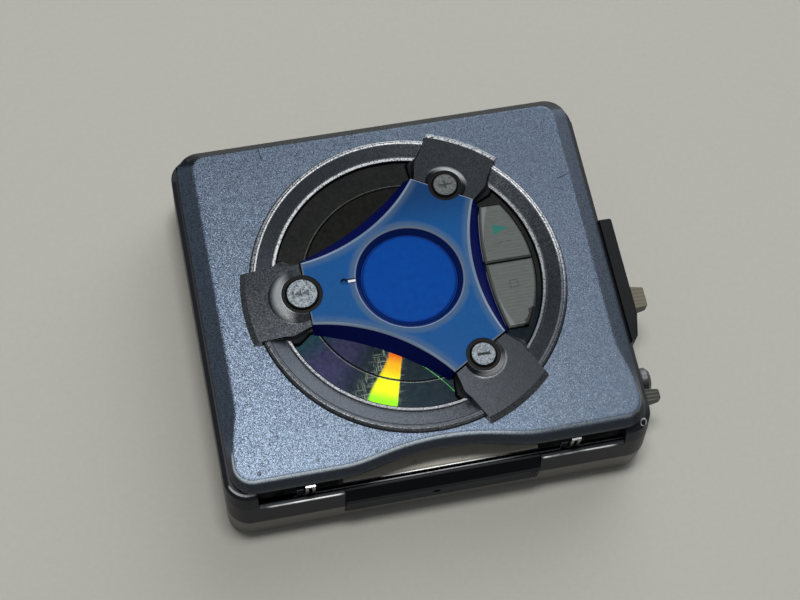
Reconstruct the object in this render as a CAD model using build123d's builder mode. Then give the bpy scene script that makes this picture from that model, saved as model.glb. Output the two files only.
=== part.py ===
"""Portable minidisc player: a flat two-shell case, a hinged lid with a round window bezel and a
three-armed spoke cover, and the disc mechanism under the cartridge slot.

Millimetres. The origin is on the table under the middle of the lid. X points right, Y points to
the hinge, Z points up.
"""
from build123d import *
from math import asin, cos, degrees, pi, radians, sin
import os

os.makedirs("parts", exist_ok=True)

# ------------------------------------------------------------------ driving sizes
# case
case_front = 39.2  # origin to the front face at the parting line
case_rear = 37.0
case_corner = 4.5
case_wall = 1.4
base_floor = 1.2
base_round = 2.4
parting_height = 7.8
wall_top = 17.6  # top of the side walls
front_lean = 2.2  # how far the front face leans back up to wall_top
rim_chamfer = 0.8
flange_thickness = 1.4

# cartridge and its slot
cartridge_width = 72.0
cartridge_height = 5.0
slot_play = 1.0
slot_end_depth = 5.9  # from the slot's end to the side of the case
slot_floor = 13.2
front_wall_thickness = 1.9

# lid
lid_side_step = 1.3  # how far the lid stays back from the sides of the case
lid_rear_step = 0.35
lid_top = 21.0
lid_roof = 1.3
lid_skirt_bottom = 18.1
lid_bevel_height = 1.8
lid_side_bevel = 3.2
lid_side_bevel_front = 1.15
lid_front_bevel = 1.8
lid_rear_bevel = 2.0
lid_corner = 4.6
lid_side_wall = 2.7
bevel_change_y = -17.0
wave_half_width = 20.0
wave_depth = 2.5

# hinge
hinge_inset = 2.45  # from the lid's rear edge
hinge_z = 16.8
hinge_pin_radius = 0.8
running_gap = 0.05

# round window on the lid
hub_x = 0.4
hub_y = 0.25
window_radius = 26.6
bezel_width = 5.2
bezel_spigot = 2.3  # thickness of the bezel's wall in the lid's aperture
bezel_height = 0.95
bezel_ledge = 0.85
bezel_depth = 1.75  # how far the bezel's spigot reaches below the lid's top
lobe_overhang = 1.7
lobe_height = 1.95
lobe_angles = (181, 59, 300)
plate_top = 20.9
plate_thickness = 0.7
key_board_thickness = 0.4

# spoke cover
spoke_height = 2.6
arm_end_inset = 5.9  # from the window's edge to the arms' ends
arm_end_gap = 0.25
spoke_waist_top = 12.8
spoke_waist_foot = 15.6
arm_half_top = 6.5
arm_half_foot = 8.0
badge_radius = 9.5
badge_rim_radius = 11.0
badge_recess = 1.4

# buttons and keys
button_inset = 5.0  # from the window's edge to the buttons' centres
track_cap_radius = 3.25
volume_cap_radius = 2.6
button_ring_width = 0.82
button_proud = 0.25
button_travel = 0.3
button_gap = 0.12
track_collar_foot = 10.4
volume_collar_foot = 6.4
key_top = 21.6
key_rim = 1.2
key_half_length = 13.4
key_split = 0.8
key_gap = 0.35

# side controls
block_proud = 2.6
block_front = -19.0
block_rear = 8.5
block_bottom = 9.6
block_top = 17.5
hold_travel = 2.0
jack_y = -24.8
jack_z = 9.2
jack_bore_radius = 1.8
jack_collar_radius = 2.65
jack_sleeve_proud = 1.6
jack_collar_proud = 1.8
jack_collar_wall = 0.25

# mechanism
deck_bottom = 12.0
deck_thickness = 0.55
spindle_y = -1.8
turntable_radius = 7.0
motor_radius = 9.0
rod_spread = 8.2
rod_radius = 0.9
rod_z = 9.2
pickup_start = 12.5
pickup_length = 8.0
pickup_travel = 13.5
screw_offset = 12.5
screw_radius = 1.0
board_bottom = 2.2
board_thickness = 1.0
cell_width = 17.0
cell_length = 63.5
cell_height = 6.1

# ------------------------------------------------------------------ worked-out places
slot_width = cartridge_width + slot_play
case_width = slot_width + 2 * slot_end_depth
case_side = case_width / 2
case_depth = case_front + case_rear
case_mid_y = (case_rear - case_front) / 2
front_wall_inner = case_front - front_wall_thickness
lid_side = case_side - lid_side_step
lid_half_depth = case_rear - lid_rear_step
hinge_y = lid_half_depth - hinge_inset
hinge_zone = hinge_y - 2.2  # behind this line the walls are cut lower
aperture_radius = window_radius + bezel_spigot
bezel_radius = window_radius + bezel_width
lobe_radius = bezel_radius + lobe_overhang
spoke_reach = window_radius - arm_end_inset
lobe_inner = spoke_reach + arm_end_gap
button_circle = window_radius - button_inset
key_outer_radius = window_radius - key_rim
plate_bottom = plate_top - plate_thickness
key_board_top = lid_top - bezel_depth
roof_under = lid_top - lid_roof
deck_top = deck_bottom + deck_thickness
spoke_top = plate_top + spoke_height
button_top = spoke_top + button_proud
block_out = case_side + block_proud
jack_sleeve_out = case_side + jack_sleeve_proud
jack_collar_out = jack_sleeve_out + jack_collar_proud
inner = case_side - case_wall
jack_hole_radius = jack_collar_radius + jack_collar_wall
hub_axis = Axis((hub_x, hub_y, 0), (0, 0, 1))
hub_plane = Plane(origin=(hub_x, hub_y, 0))
hub_section = Plane(origin=(hub_x, hub_y, 0), x_dir=(1, 0, 0), z_dir=(0, -1, 0))


# ------------------------------------------------------------------ helpers
def finish(piece, name):
    """Label a finished piece and write its file."""
    piece.part.label = name
    export_step(piece.part, "parts/" + name + ".step")


def block(x, y, z, mode=Mode.ADD):
    """A rectangular block in the part being made, from its three (low, high) spans."""
    with Locations(((x[0] + x[1]) / 2, (y[0] + y[1]) / 2, (z[0] + z[1]) / 2)):
        Box(x[1] - x[0], y[1] - y[0], z[1] - z[0], mode=mode)


def rod_x(x, y, z, radius, mode=Mode.ADD):
    """A round bar along X in the part being made."""
    with Locations(Location(((x[0] + x[1]) / 2, y, z), (0, 90, 0))):
        Cylinder(radius, x[1] - x[0], mode=mode)


def disc(x, y, z, radius, mode=Mode.ADD):
    """An upright disc in the part being made, from its (low, high) span in Z."""
    with Locations((x, y, (z[0] + z[1]) / 2)):
        Cylinder(radius, z[1] - z[0], mode=mode)


def case_plan(inset=0.0):
    """The case's rounded plan, drawn in by inset."""
    with Locations((0, case_mid_y)):
        RectangleRounded(case_width - 2 * inset, case_depth - 2 * inset, case_corner - inset)


def lid_plan(side, side_front, front, rear, wave):
    """The lid's plan: rounded corners, a shallow wave in the front edge, and side edges that ease
    from side to side_front towards the front."""
    half = lid_side - side
    half_front = lid_side - side_front
    front_y = front - lid_half_depth
    rear_y = lid_half_depth - rear
    corner = lid_corner - min(side, rear)
    front_corner = lid_corner - min(side_front, front)
    ease_y = front_y + front_corner
    ease_mid = (ease_y + bevel_change_y) / 2
    with BuildLine() as outline:
        Spline(
            (-wave_half_width, front_y),
            (-wave_half_width / 2, front_y + 0.62 * wave),
            (0, front_y + wave),
            (wave_half_width / 2, front_y + 0.62 * wave),
            (wave_half_width, front_y),
            tangents=((1, 0), (1, 0)),
        )
        Line((wave_half_width, front_y), (half_front - front_corner, front_y))
        RadiusArc((half_front - front_corner, front_y), (half_front, ease_y), -front_corner)
        Bezier((half_front, ease_y), (half_front, ease_mid), (half, ease_mid), (half, bevel_change_y))
        Line((half, bevel_change_y), (half, rear_y - corner))
        RadiusArc((half, rear_y - corner), (half - corner, rear_y), -corner)
        Line((half - corner, rear_y), (corner - half, rear_y))
        RadiusArc((corner - half, rear_y), (-half, rear_y - corner), -corner)
        Line((-half, rear_y - corner), (-half, bevel_change_y))
        Bezier((-half, bevel_change_y), (-half, ease_mid), (-half_front, ease_mid), (-half_front, ease_y))
        RadiusArc((-half_front, ease_y), (front_corner - half_front, front_y), -front_corner)
        Line((front_corner - half_front, front_y), (-wave_half_width, front_y))
    make_face(outline.edges())


def arm_corner(angle, side, half, reach):
    """One corner at the end of a spoke arm: side is 1 to the left of the arm, -1 to the right."""
    turn = radians(angle)
    return (
        reach * cos(turn) - side * half * sin(turn),
        reach * sin(turn) + side * half * cos(turn),
    )


def spoke_plan(waist, half, reach=spoke_reach):
    """The spoke cover's plan: three arms with hollow sides between them."""
    with BuildLine() as outline:
        for angle in (60, 180, 300):
            right = arm_corner(angle, -1, half, reach)
            left = arm_corner(angle, 1, half, reach)
            following = arm_corner(angle + 120, -1, half, reach)
            middle = radians(angle + 60)
            Line(right, left)
            ThreePointArc(left, (waist * cos(middle), waist * sin(middle)), following)
    make_face(outline.edges())


def button_places():
    """Angle, cap radius and foot radius of the collar of the three round buttons, by name."""
    return {
        "track_back_button": (180, track_cap_radius, track_collar_foot),
        "volume_up_button": (lobe_angles[1], volume_cap_radius, volume_collar_foot),
        "volume_down_button": (lobe_angles[2], volume_cap_radius, volume_collar_foot),
    }


def on_hub(angle, radius):
    """A point round the hub, in X and Y."""
    turn = radians(angle)
    return hub_x + radius * cos(turn), hub_y + radius * sin(turn)


def cut_button_wells(extra):
    """Cut the three wells in which the black rings sit."""
    for angle, cap, foot in button_places().values():
        x, y = on_hub(angle, button_circle)
        disc(x, y, (plate_top - 1, button_top + 2), cap + extra, Mode.SUBTRACT)


# ------------------------------------------------------------------ lower case
rear_door_x = (3.4 - inner, 3.4 - inner + 18.0)
door_pin_x = rear_door_x[1] + 0.7
door_pin_y = case_rear - case_wall / 2
door_knuckle = case_wall / 2
door_bottom = base_floor + 0.2
door_top = parting_height - 0.2
panel_half = 19.5
panel_bottom = 5.1
panel_gap = 0.08
post_places = (
    (-15.0, 10.2 - case_front),
    (-15.0, case_rear - 10.0),
    (inner - 8.0, case_rear - 11.0),
    (inner - 11.0, 7.2 - case_front),
)
post_radius = 2.0
post_top = 10.0
damper_radius = 2.7
screw_places = (
    (4.5 - inner, 5.8 - case_front),
    (inner - 4.0, 5.8 - case_front),
    (-15.5, case_rear - 4.0),
    (inner - 4.0, case_rear - 5.5),
)
screw_boss_top = 10.2
screw_boss_radius = 2.2
screw_radius_shank = 0.8
screw_head_radius = 1.6
open_slot_y = (-33.2, -27.8)
open_slot_z = (10.5, 11.7)
side_panel_y = (open_slot_y[0] - 0.7, jack_y + 4.4)
side_panel_z = (jack_z - 3.6, open_slot_z[1] + 2.3)
dc_jack_x = 20.0
dc_jack_z = 5.4
dc_hole_radius = 1.7

with BuildPart() as case_blank:
    with BuildSketch():
        case_plan()
    extrude(amount=parting_height)
    fillet(case_blank.faces().sort_by(Axis.Z)[0].edges(), base_round)

with BuildPart() as lower_case:
    add(case_blank.part)
    with BuildSketch(Plane.XY.offset(base_floor)):
        case_plan(case_wall)
    extrude(amount=parting_height, mode=Mode.SUBTRACT)
    for x, y in post_places:
        disc(x, y, (base_floor, post_top), post_radius)
    for x, y in screw_places:
        disc(x, y, (base_floor, parting_height), screw_boss_radius)
        disc(x, y, (0, parting_height), screw_radius_shank + 0.1, Mode.SUBTRACT)
        disc(x, y, (0, 0.6), screw_head_radius + 0.1, Mode.SUBTRACT)
    # board rests
    for x in (-8.0, 26.0):
        for y in (-20.0, 20.0):
            disc(x, y, (base_floor, board_bottom), 1.6)
    # front panel recess
    block(
        (-panel_half - panel_gap, panel_half + panel_gap),
        (-case_front - 1, -case_front + case_wall + 0.1),
        (panel_bottom - panel_gap, parting_height),
        Mode.SUBTRACT,
    )
    # battery door opening in the rear wall
    block(
        (rear_door_x[0] - 0.2, door_pin_x + door_knuckle + 0.3),
        (case_rear - case_wall - 0.1, case_rear + 1),
        (base_floor, parting_height),
        Mode.SUBTRACT,
    )
    # opening for the side panel, lower part
    block(
        (inner, case_side + 1), (side_panel_y[0] - panel_gap, side_panel_y[1] + panel_gap),
        (side_panel_z[0] - panel_gap, parting_height), Mode.SUBTRACT,
    )
    # DC hole in the rear wall
    with Locations(Location((dc_jack_x, case_rear, dc_jack_z), (90, 0, 0))):
        Cylinder(dc_hole_radius + 0.2, 4 * case_wall, mode=Mode.SUBTRACT)
finish(lower_case, "lower_case")

# ------------------------------------------------------------------ mid frame
knuckle_radius = 1.35
low_wall_top = 14.2
corner_wall_top = 16.2
hinge_gap_x = slot_width / 2 + 0.6
knuckle_x = (hinge_gap_x + 0.2, hinge_gap_x + 2.7)
bracket_foot = 11.0
pillar_rear = 4.8 - front_wall_inner
bar_y = (0.35 - front_wall_inner, 0.85 - front_wall_inner)
bar_bottom = 9.4
bar_top = 11.9
loop_x = 26.3
bar_right = inner - 2.8
bar_tail_y = open_slot_y[0] + 0.1
# height, lean of the front face and inset all round of the outer shape's sections
frame_sections = (
    (parting_height, 0.0, 0.0),
    ((parting_height + wall_top) / 2 + 1.0, 0.45 * front_lean, 0.0),
    (wall_top - rim_chamfer, 0.85 * front_lean, 0.0),
    (wall_top, front_lean, rim_chamfer),
)

with BuildPart() as mid_frame:
    # the front face leans back and the rim is bevelled
    for height, lean, inset in frame_sections:
        with BuildSketch(Plane.XY.offset(height)):
            with Locations((0, case_mid_y + lean / 2)):
                RectangleRounded(
                    case_width - 2 * inset, case_depth - lean - 2 * inset, case_corner - inset
                )
    loft(ruled=True)
    # room inside: wide under the flange, narrower through it
    block(
        (-inner, inner), (pillar_rear, case_rear - case_wall),
        (parting_height, wall_top - flange_thickness), Mode.SUBTRACT,
    )
    block(
        (-inner + 1.5, inner - 1.5), (-front_wall_inner, pillar_rear),
        (parting_height, slot_floor - 0.2), Mode.SUBTRACT,
    )
    block(
        (-hinge_gap_x, hinge_gap_x), (pillar_rear, case_rear - case_wall),
        (parting_height, wall_top + 1), Mode.SUBTRACT,
    )
    # cartridge slot through the front wall
    block(
        (-slot_width / 2, slot_width / 2), (-case_front - 2, pillar_rear + 0.5),
        (slot_floor, wall_top + 1), Mode.SUBTRACT,
    )
    block(
        (-slot_width / 2, slot_width / 2), (-front_wall_inner, pillar_rear + 0.5),
        (parting_height, wall_top + 1), Mode.SUBTRACT,
    )
    # lower walls where the lid's rear edge swings
    block(
        (-hinge_gap_x, hinge_gap_x), (hinge_zone, case_rear + 1),
        (low_wall_top, wall_top + 1), Mode.SUBTRACT,
    )
    block(
        (-case_width, case_width), (hinge_zone, case_rear + 1),
        (corner_wall_top, wall_top + 1), Mode.SUBTRACT,
    )
    # front panel opening
    block(
        (-panel_half - panel_gap, panel_half + panel_gap),
        (-case_front - 1, -front_wall_inner + 0.1), (parting_height - 1, wall_top + 1),
        Mode.SUBTRACT,
    )
    # screw bosses over the lower case's bosses, webbed to the walls
    for x, y in screw_places:
        disc(x, y, (parting_height, screw_boss_top), screw_boss_radius)
    for x, y in screw_places[:2]:
        reach = sorted((x, x / abs(x) * inner))
        block(tuple(reach), (y - 0.8, y + 0.8), (parting_height, screw_boss_top))
    for x, y in screw_places[2:]:
        block((x - 0.8, x + 0.8), (y, case_rear - case_wall), (parting_height, screw_boss_top))
    for x, y in screw_places:
        disc(x, y, (parting_height, screw_boss_top - 0.6), screw_radius_shank, Mode.SUBTRACT)
    # rests under the latch bar
    for x in (2.3 - loop_x, loop_x + 3.7):
        block(
            (x - 1.0, x + 1.0), (-case_front + case_wall, bar_y[1] + 0.2),
            (bar_bottom - running_gap - 0.9, bar_bottom - running_gap),
        )
    # opening for the side panel, upper part
    block(
        (inner, case_side + 1), (side_panel_y[0] - panel_gap, side_panel_y[1] + panel_gap),
        (parting_height, side_panel_z[1] + panel_gap), Mode.SUBTRACT,
    )
    # slot of the open slider
    block((inner - 2, case_side + 1), open_slot_y, open_slot_z, Mode.SUBTRACT)
finish(mid_frame, "mid_frame")

with BuildPart() as hinge_brackets:
    for side in (1, -1):
        near, far = sorted((side * knuckle_x[0], side * knuckle_x[1]))
        rod_x((near, far), hinge_y, hinge_z, knuckle_radius)
        block((near, far), (hinge_y - knuckle_radius, case_rear - case_wall), (bracket_foot, hinge_z))
        rod_x((near - 1, far + 1), hinge_y, hinge_z, hinge_pin_radius + 0.02, Mode.SUBTRACT)
finish(hinge_brackets, "hinge_brackets")

# ------------------------------------------------------------------ front panel and slot sill
panel_proud = 0.2
panel_bevel_z = 10.6

with BuildPart() as front_panel:
    with BuildSketch(Plane.YZ.offset(-panel_half)):
        with BuildLine():
            Polyline(
                (-case_front - panel_proud, panel_bottom),
                (-case_front - panel_proud, panel_bevel_z - 1.2),
                (-case_front, panel_bevel_z),
                (-front_wall_inner - 0.15, slot_floor),
                (-front_wall_inner, slot_floor),
                (-front_wall_inner, parting_height + panel_gap),
                (-case_front + case_wall, parting_height + panel_gap),
                (-case_front + case_wall, panel_bottom),
                close=True,
            )
        make_face()
    extrude(amount=2 * panel_half)
    # two fine ribs near the right end
    for x in (panel_half - 1.6, panel_half - 0.8):
        block(
            (x, x + 0.3), (-case_front - panel_proud - 0.12, -case_front),
            (panel_bottom + 0.6, panel_bevel_z - 1.4),
        )
    # thumb dimple
    with Locations((-1.3, -case_front - panel_proud - 0.55, parting_height + 0.2)):
        Sphere(1.0, mode=Mode.SUBTRACT)
finish(front_panel, "front_panel")

sill_front = 1.5 - front_wall_inner
sill_rear = sill_front + 4.3
sill_top = slot_floor - 0.3

with BuildPart() as slot_sill:
    block((-panel_half, panel_half), (sill_front, sill_rear), (deck_top, sill_top))
    chamfer(slot_sill.faces().sort_by(Axis.Y)[0].edges().sort_by(Axis.Z)[-1], 0.25)
finish(slot_sill, "slot_sill")

# ------------------------------------------------------------------ side control block and sliders
hold_slot_z = (14.3, 15.7)
hold_knob_y = (-11.8, -7.0)
hold_stem_y = (hold_knob_y[0] + 1.4, hold_knob_y[1] - 1.4)
hold_slot_y = (hold_stem_y[0] - hold_travel - 1.0, hold_stem_y[1] + hold_travel + 1.0)
hold_knob_z = (13.3, 16.6)
hold_knob_proud = 2.9
hold_knob_out = block_out + hold_knob_proud
slider_gap = 0.15

with BuildPart() as side_control_block:
    with BuildSketch(Plane.XY.offset(block_bottom)):
        with BuildLine():
            Polyline(
                (case_side, block_front),
                (case_side + 0.58 * block_proud, block_front + 1.2),
                (block_out, block_front + 6.0),
                (block_out, block_rear),
                (case_side, block_rear),
                close=True,
            )
        make_face()
    extrude(amount=block_top - block_bottom)
    fillet(side_control_block.edges().filter_by(Axis.Z).group_by(Axis.X)[-1], 0.5)
    fillet(side_control_block.faces().sort_by(Axis.Z)[-1].edges().sort_by(Axis.X)[-1], 0.5)
    block((case_side - 1, block_out + 1), hold_slot_y, hold_slot_z, Mode.SUBTRACT)
finish(side_control_block, "side_control_block")

with BuildPart() as hold_knob:
    block(
        (case_side + 0.4, block_out + slider_gap + 0.5),
        hold_stem_y,
        (hold_slot_z[0] + slider_gap, hold_slot_z[1] - slider_gap),
    )
    with BuildSketch(Plane.YZ.offset(block_out + slider_gap)):
        with Locations(((hold_knob_y[0] + hold_knob_y[1]) / 2, sum(hold_knob_z) / 2)):
            Rectangle(hold_knob_y[1] - hold_knob_y[0], hold_knob_z[1] - hold_knob_z[0])
    extrude(amount=hold_knob_out - block_out - slider_gap, taper=8)
    fillet(hold_knob.faces().sort_by(Axis.X)[-1].edges(), 0.4)
finish(hold_knob, "hold_knob")

open_knob_y = (-30.7, -27.7)
open_knob_z = (10.2, 13.2)
open_knob_proud = 4.0
open_knob_out = case_side + open_knob_proud
open_stem_y = (open_knob_y[0] + 0.5, open_knob_y[1] - 0.5)
link_x = (bar_right - 1.95, bar_right + 0.2)
open_stem_z = (open_slot_z[0] + slider_gap, open_slot_z[1] - slider_gap)

with BuildPart() as open_knob:
    block((link_x[1], case_side + slider_gap + 0.5), open_stem_y, open_stem_z)
    with BuildSketch(Plane.YZ.offset(case_side + slider_gap)):
        with Locations((sum(open_knob_y) / 2, sum(open_knob_z) / 2)):
            Rectangle(open_knob_y[1] - open_knob_y[0], open_knob_z[1] - open_knob_z[0])
    extrude(amount=open_knob_out - case_side - slider_gap, taper=7)
    fillet(open_knob.faces().sort_by(Axis.X)[-1].edges(), 0.5)
finish(open_knob, "open_knob")

# a wedge turns the slider's push into the latch bar's move
with BuildPart() as latch_link:
    with BuildSketch(Plane.XY.offset(open_stem_z[0])):
        with BuildLine():
            Polyline(
                (link_x[1], open_stem_y[1]),
                (link_x[0], open_stem_y[1]),
                (link_x[0], bar_tail_y + 2.55),
                (link_x[1] - 0.05, bar_tail_y - 0.05),
                (link_x[1], bar_tail_y - 0.05),
                close=True,
            )
        make_face()
    extrude(amount=open_stem_z[1] - open_stem_z[0])
finish(latch_link, "latch_link")

# the panel in the right side that holds the jack and guides the open slider
with BuildPart() as side_panel:
    block((inner, case_side), side_panel_y, side_panel_z)
    rod_x((inner - 1, case_side + 1), jack_y, jack_z, jack_hole_radius, Mode.SUBTRACT)
    block((inner - 1, case_side + 1), open_slot_y, open_slot_z, Mode.SUBTRACT)
finish(side_panel, "side_panel")

# ------------------------------------------------------------------ jacks
jack_housing_x = (inner - 10.0, inner - 0.1)

with BuildPart() as phones_jack:
    block(jack_housing_x, (jack_y - 2.8, jack_y + 2.8), (board_bottom + board_thickness, deck_bottom - 0.2))
    rod_x((jack_housing_x[1], jack_sleeve_out), jack_y, jack_z, jack_hole_radius - running_gap)
    rod_x((jack_housing_x[0] + 1.5, jack_sleeve_out + 1), jack_y, jack_z, jack_bore_radius, Mode.SUBTRACT)
finish(phones_jack, "phones_jack")

with BuildPart() as jack_collar:
    with BuildSketch(Plane.XY.offset(jack_z)):
        with BuildLine():
            Polyline(
                (jack_sleeve_out, jack_y + jack_bore_radius),
                (jack_sleeve_out, jack_y + jack_collar_radius),
                (jack_collar_out - 0.7, jack_y + jack_collar_radius),
                (jack_collar_out, jack_y + jack_collar_radius - 0.6),
                (jack_collar_out, jack_y + jack_bore_radius + 0.1),
                (jack_collar_out - 0.1, jack_y + jack_bore_radius),
                close=True,
            )
        make_face()
    revolve(axis=Axis((0, jack_y, jack_z), (1, 0, 0)))
finish(jack_collar, "jack_collar")

with BuildPart() as dc_jack:
    block((dc_jack_x - 3.5, dc_jack_x + 3.5), (case_rear - 10.0, case_rear - case_wall - 0.1),
          (board_bottom + board_thickness, parting_height - 0.3))
    with Locations(Location((dc_jack_x, case_rear - case_wall / 2 - 0.4, dc_jack_z), (90, 0, 0))):
        Cylinder(dc_hole_radius + 0.1, case_wall + 0.6)
    with Locations(Location((dc_jack_x, case_rear - 3.5, dc_jack_z), (90, 0, 0))):
        Cylinder(dc_hole_radius - 0.3, 8.0, mode=Mode.SUBTRACT)
    with Locations(Location((dc_jack_x, case_rear - 4.0, dc_jack_z), (90, 0, 0))):
        Cylinder(0.5, 7.0)
finish(dc_jack, "dc_jack")

# ------------------------------------------------------------------ battery, board
cell_x = (rear_door_x[0] + rear_door_x[1]) / 2
cell_bottom = base_floor + 0.15
cell_rear = case_rear - case_wall - 0.9

with BuildPart() as battery_cell:
    block(
        (cell_x - cell_width / 2, cell_x + cell_width / 2), (cell_rear - cell_length, cell_rear),
        (cell_bottom, cell_bottom + cell_height),
    )
    fillet(battery_cell.edges().filter_by(Axis.Y), 2.6)
    rod = Location((cell_x, cell_rear + 0.3, cell_bottom + cell_height / 2), (90, 0, 0))
    with Locations(rod):
        Cylinder(2.2, 0.6)
finish(battery_cell, "battery_cell")

contact_y = cell_rear - cell_length
with BuildPart() as battery_contacts:
    for offset in (-4.5, 4.5):
        block(
            (cell_x + offset - 2.0, cell_x + offset + 2.0), (contact_y - 0.7, contact_y - 0.3),
            (base_floor, cell_bottom + cell_height),
        )
        with Locations(Location((cell_x + offset, contact_y - 0.15, cell_bottom + cell_height / 2), (90, 0, 0))):
            Cylinder(1.0, 0.3)
finish(battery_contacts, "battery_contacts")

with BuildPart() as door_form:
    block(
        (rear_door_x[0], door_pin_x), (case_rear - case_wall, case_rear + 1), (door_bottom, door_top)
    )

with BuildPart() as battery_door:
    add(case_blank.part)
    add(door_form.part, mode=Mode.INTERSECT)
    disc(door_pin_x, door_pin_y, (door_bottom, door_top), door_knuckle)
    disc(door_pin_x, door_pin_y, (0, door_top + 1), 0.35 + running_gap, Mode.SUBTRACT)
    # finger groove at the free end
    block(
        (rear_door_x[0] + 1.2, rear_door_x[0] + 1.8), (case_rear - 0.35, case_rear + 1),
        (door_bottom + 1.4, door_top - 1.2), Mode.SUBTRACT,
    )
finish(battery_door, "battery_door")

with BuildPart() as battery_door_pin:
    disc(door_pin_x, door_pin_y, (base_floor, parting_height), 0.35)
finish(battery_door_pin, "battery_door_pin")

board_x = (rear_door_x[1] + 2.1, inner - 1.0)
board_y = (3.0 - case_front, case_rear - 4.0)
with BuildPart() as main_board:
    block(board_x, board_y, (board_bottom, board_bottom + board_thickness))
    for x, y in post_places:
        disc(x, y, (0, post_top), post_radius + 0.3, Mode.SUBTRACT)
    for x, y in screw_places[1:]:
        disc(x, y, (0, post_top), screw_boss_radius + 0.4, Mode.SUBTRACT)
    corner_x, corner_y = screw_places[3]
    block((corner_x - 7, board_x[1] + 1), (corner_y - 0.5, board_y[1] + 1), (0, 5), Mode.SUBTRACT)
finish(main_board, "main_board")

chip_sizes = ((-4.0, 18.0, 9.0), (10.0, 20.0, 7.0), (-6.0, -18.0, 6.0), (20.0, -24.0, 5.0), (22.0, 16.0, 4.0))
with BuildPart() as board_chips:
    for x, y, size in chip_sizes:
        block(
            (x - size / 2, x + size / 2), (y - size / 2, y + size / 2),
            (board_bottom + board_thickness, board_bottom + board_thickness + 1.0),
        )
finish(board_chips, "board_chips")

# ------------------------------------------------------------------ mechanism
pickup_end = pickup_start + pickup_length + pickup_travel
bracket_x = ((pickup_start - 2.9, pickup_start - 1.3), (pickup_end + 1.0, pickup_end + 2.4))
screw_y = spindle_y - screw_offset
lens_x = pickup_start + 3.8
deck_half = slot_width / 2 + 0.1
deck_front = 1.3 - front_wall_inner
deck_rear = hinge_zone - 0.8
lens_radius = 2.2
motor_bottom = deck_bottom - 3.6
turntable_bottom = deck_top + 0.2

with BuildPart() as mech_chassis:
    block((-deck_half, deck_half), (deck_front, deck_rear), (deck_bottom, deck_top))
    disc(0, spindle_y, (0, lid_top), turntable_radius + 0.6, Mode.SUBTRACT)
    block(
        (lens_x - lens_radius - 0.5, lens_x + pickup_travel + lens_radius + 0.5),
        (spindle_y - lens_radius - 0.6, spindle_y + lens_radius + 0.6),
        (0, lid_top), Mode.SUBTRACT,
    )
    # locating holes in the sheet
    for x, y in ((-24.0, -18.0), (-24.0, 15.0)):
        disc(x, y, (0, lid_top), 1.8, Mode.SUBTRACT)
finish(mech_chassis, "mech_chassis")

with BuildPart() as rod_brackets:
    for span in bracket_x:
        for y in (spindle_y - rod_spread, spindle_y + rod_spread):
            block(span, (y - 1.6, y + 1.6), (rod_z - 1.6, deck_bottom))
            rod_x((span[0] - 1, span[1] + 1), y, rod_z, rod_radius + 0.01, Mode.SUBTRACT)
    block(bracket_x[1], (screw_y - 1.7, screw_y + 1.7), (rod_z - 1.7, deck_bottom))
    rod_x((bracket_x[1][0] - 1, bracket_x[1][1] + 1), screw_y, rod_z, screw_radius + running_gap, Mode.SUBTRACT)
finish(rod_brackets, "rod_brackets")

with BuildPart() as chassis_dampers:
    for x, y in post_places:
        disc(x, y, (post_top, deck_bottom), damper_radius)
    chamfer(chassis_dampers.edges().filter_by(GeomType.CIRCLE), 0.35)
finish(chassis_dampers, "chassis_dampers")

with BuildPart() as spindle_motor:
    disc(0, spindle_y, (motor_bottom, deck_bottom), motor_radius)
    disc(0, spindle_y, (motor_bottom - 0.6, motor_bottom), 4.0)
    disc(0, spindle_y, (0, lid_top), 1.0 + running_gap, Mode.SUBTRACT)
    chamfer(spindle_motor.edges().filter_by(GeomType.CIRCLE).group_by(Axis.Z)[1].sort_by(SortBy.RADIUS)[-1], 0.5)
finish(spindle_motor, "spindle_motor")

with BuildPart() as turntable:
    disc(0, spindle_y, (motor_bottom + 0.4, turntable_bottom + 0.05), 1.0)
    disc(0, spindle_y, (turntable_bottom, turntable_bottom + 1.25), turntable_radius)
    disc(0, spindle_y, (turntable_bottom + 1.25, turntable_bottom + 1.55), turntable_radius - 1.2)
    with Locations((0, spindle_y, turntable_bottom + 1.55 + 0.5)):
        Cone(1.4, 0.7, 1.0)
finish(turntable, "turntable")

with BuildPart() as guide_rods:
    for y in (spindle_y - rod_spread, spindle_y + rod_spread):
        rod_x((bracket_x[0][0], bracket_x[1][1]), y, rod_z, rod_radius)
finish(guide_rods, "guide_rods")

with BuildPart() as pickup_carriage:
    block(
        (pickup_start, pickup_start + pickup_length),
        (spindle_y - rod_spread - 1.7, spindle_y + rod_spread + 1.7), (rod_z - 2.6, deck_bottom - 0.4),
    )
    # waist between the two rod bearings
    for y in (spindle_y - 4.6, spindle_y + 4.6):
        block(
            (pickup_start + 4.6, pickup_start + pickup_length + 1), (y - 1.6, y + 1.6),
            (0, deck_top), Mode.SUBTRACT,
        )
    for y in (spindle_y - rod_spread, spindle_y + rod_spread):
        rod_x((pickup_start - 1, pickup_start + pickup_length + 1), y, rod_z,
              rod_radius + 0.08, Mode.SUBTRACT)
    # finger that rides the lead screw
    block(
        (pickup_start + 2.5, pickup_start + 4.5),
        (screw_y + screw_radius + 0.1, spindle_y - rod_spread - 1.6), (rod_z - 0.6, rod_z + 0.6),
    )
finish(pickup_carriage, "pickup_carriage")

with BuildPart() as objective_lens:
    disc(lens_x, spindle_y, (deck_bottom - 0.4, deck_bottom + 0.5), lens_radius)
    disc(lens_x, spindle_y, (deck_bottom + 0.3, deck_bottom + 0.9), lens_radius - 0.7)
    chamfer(objective_lens.faces().sort_by(Axis.Z)[-1].edges(), 0.3)
finish(objective_lens, "objective_lens")

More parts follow.
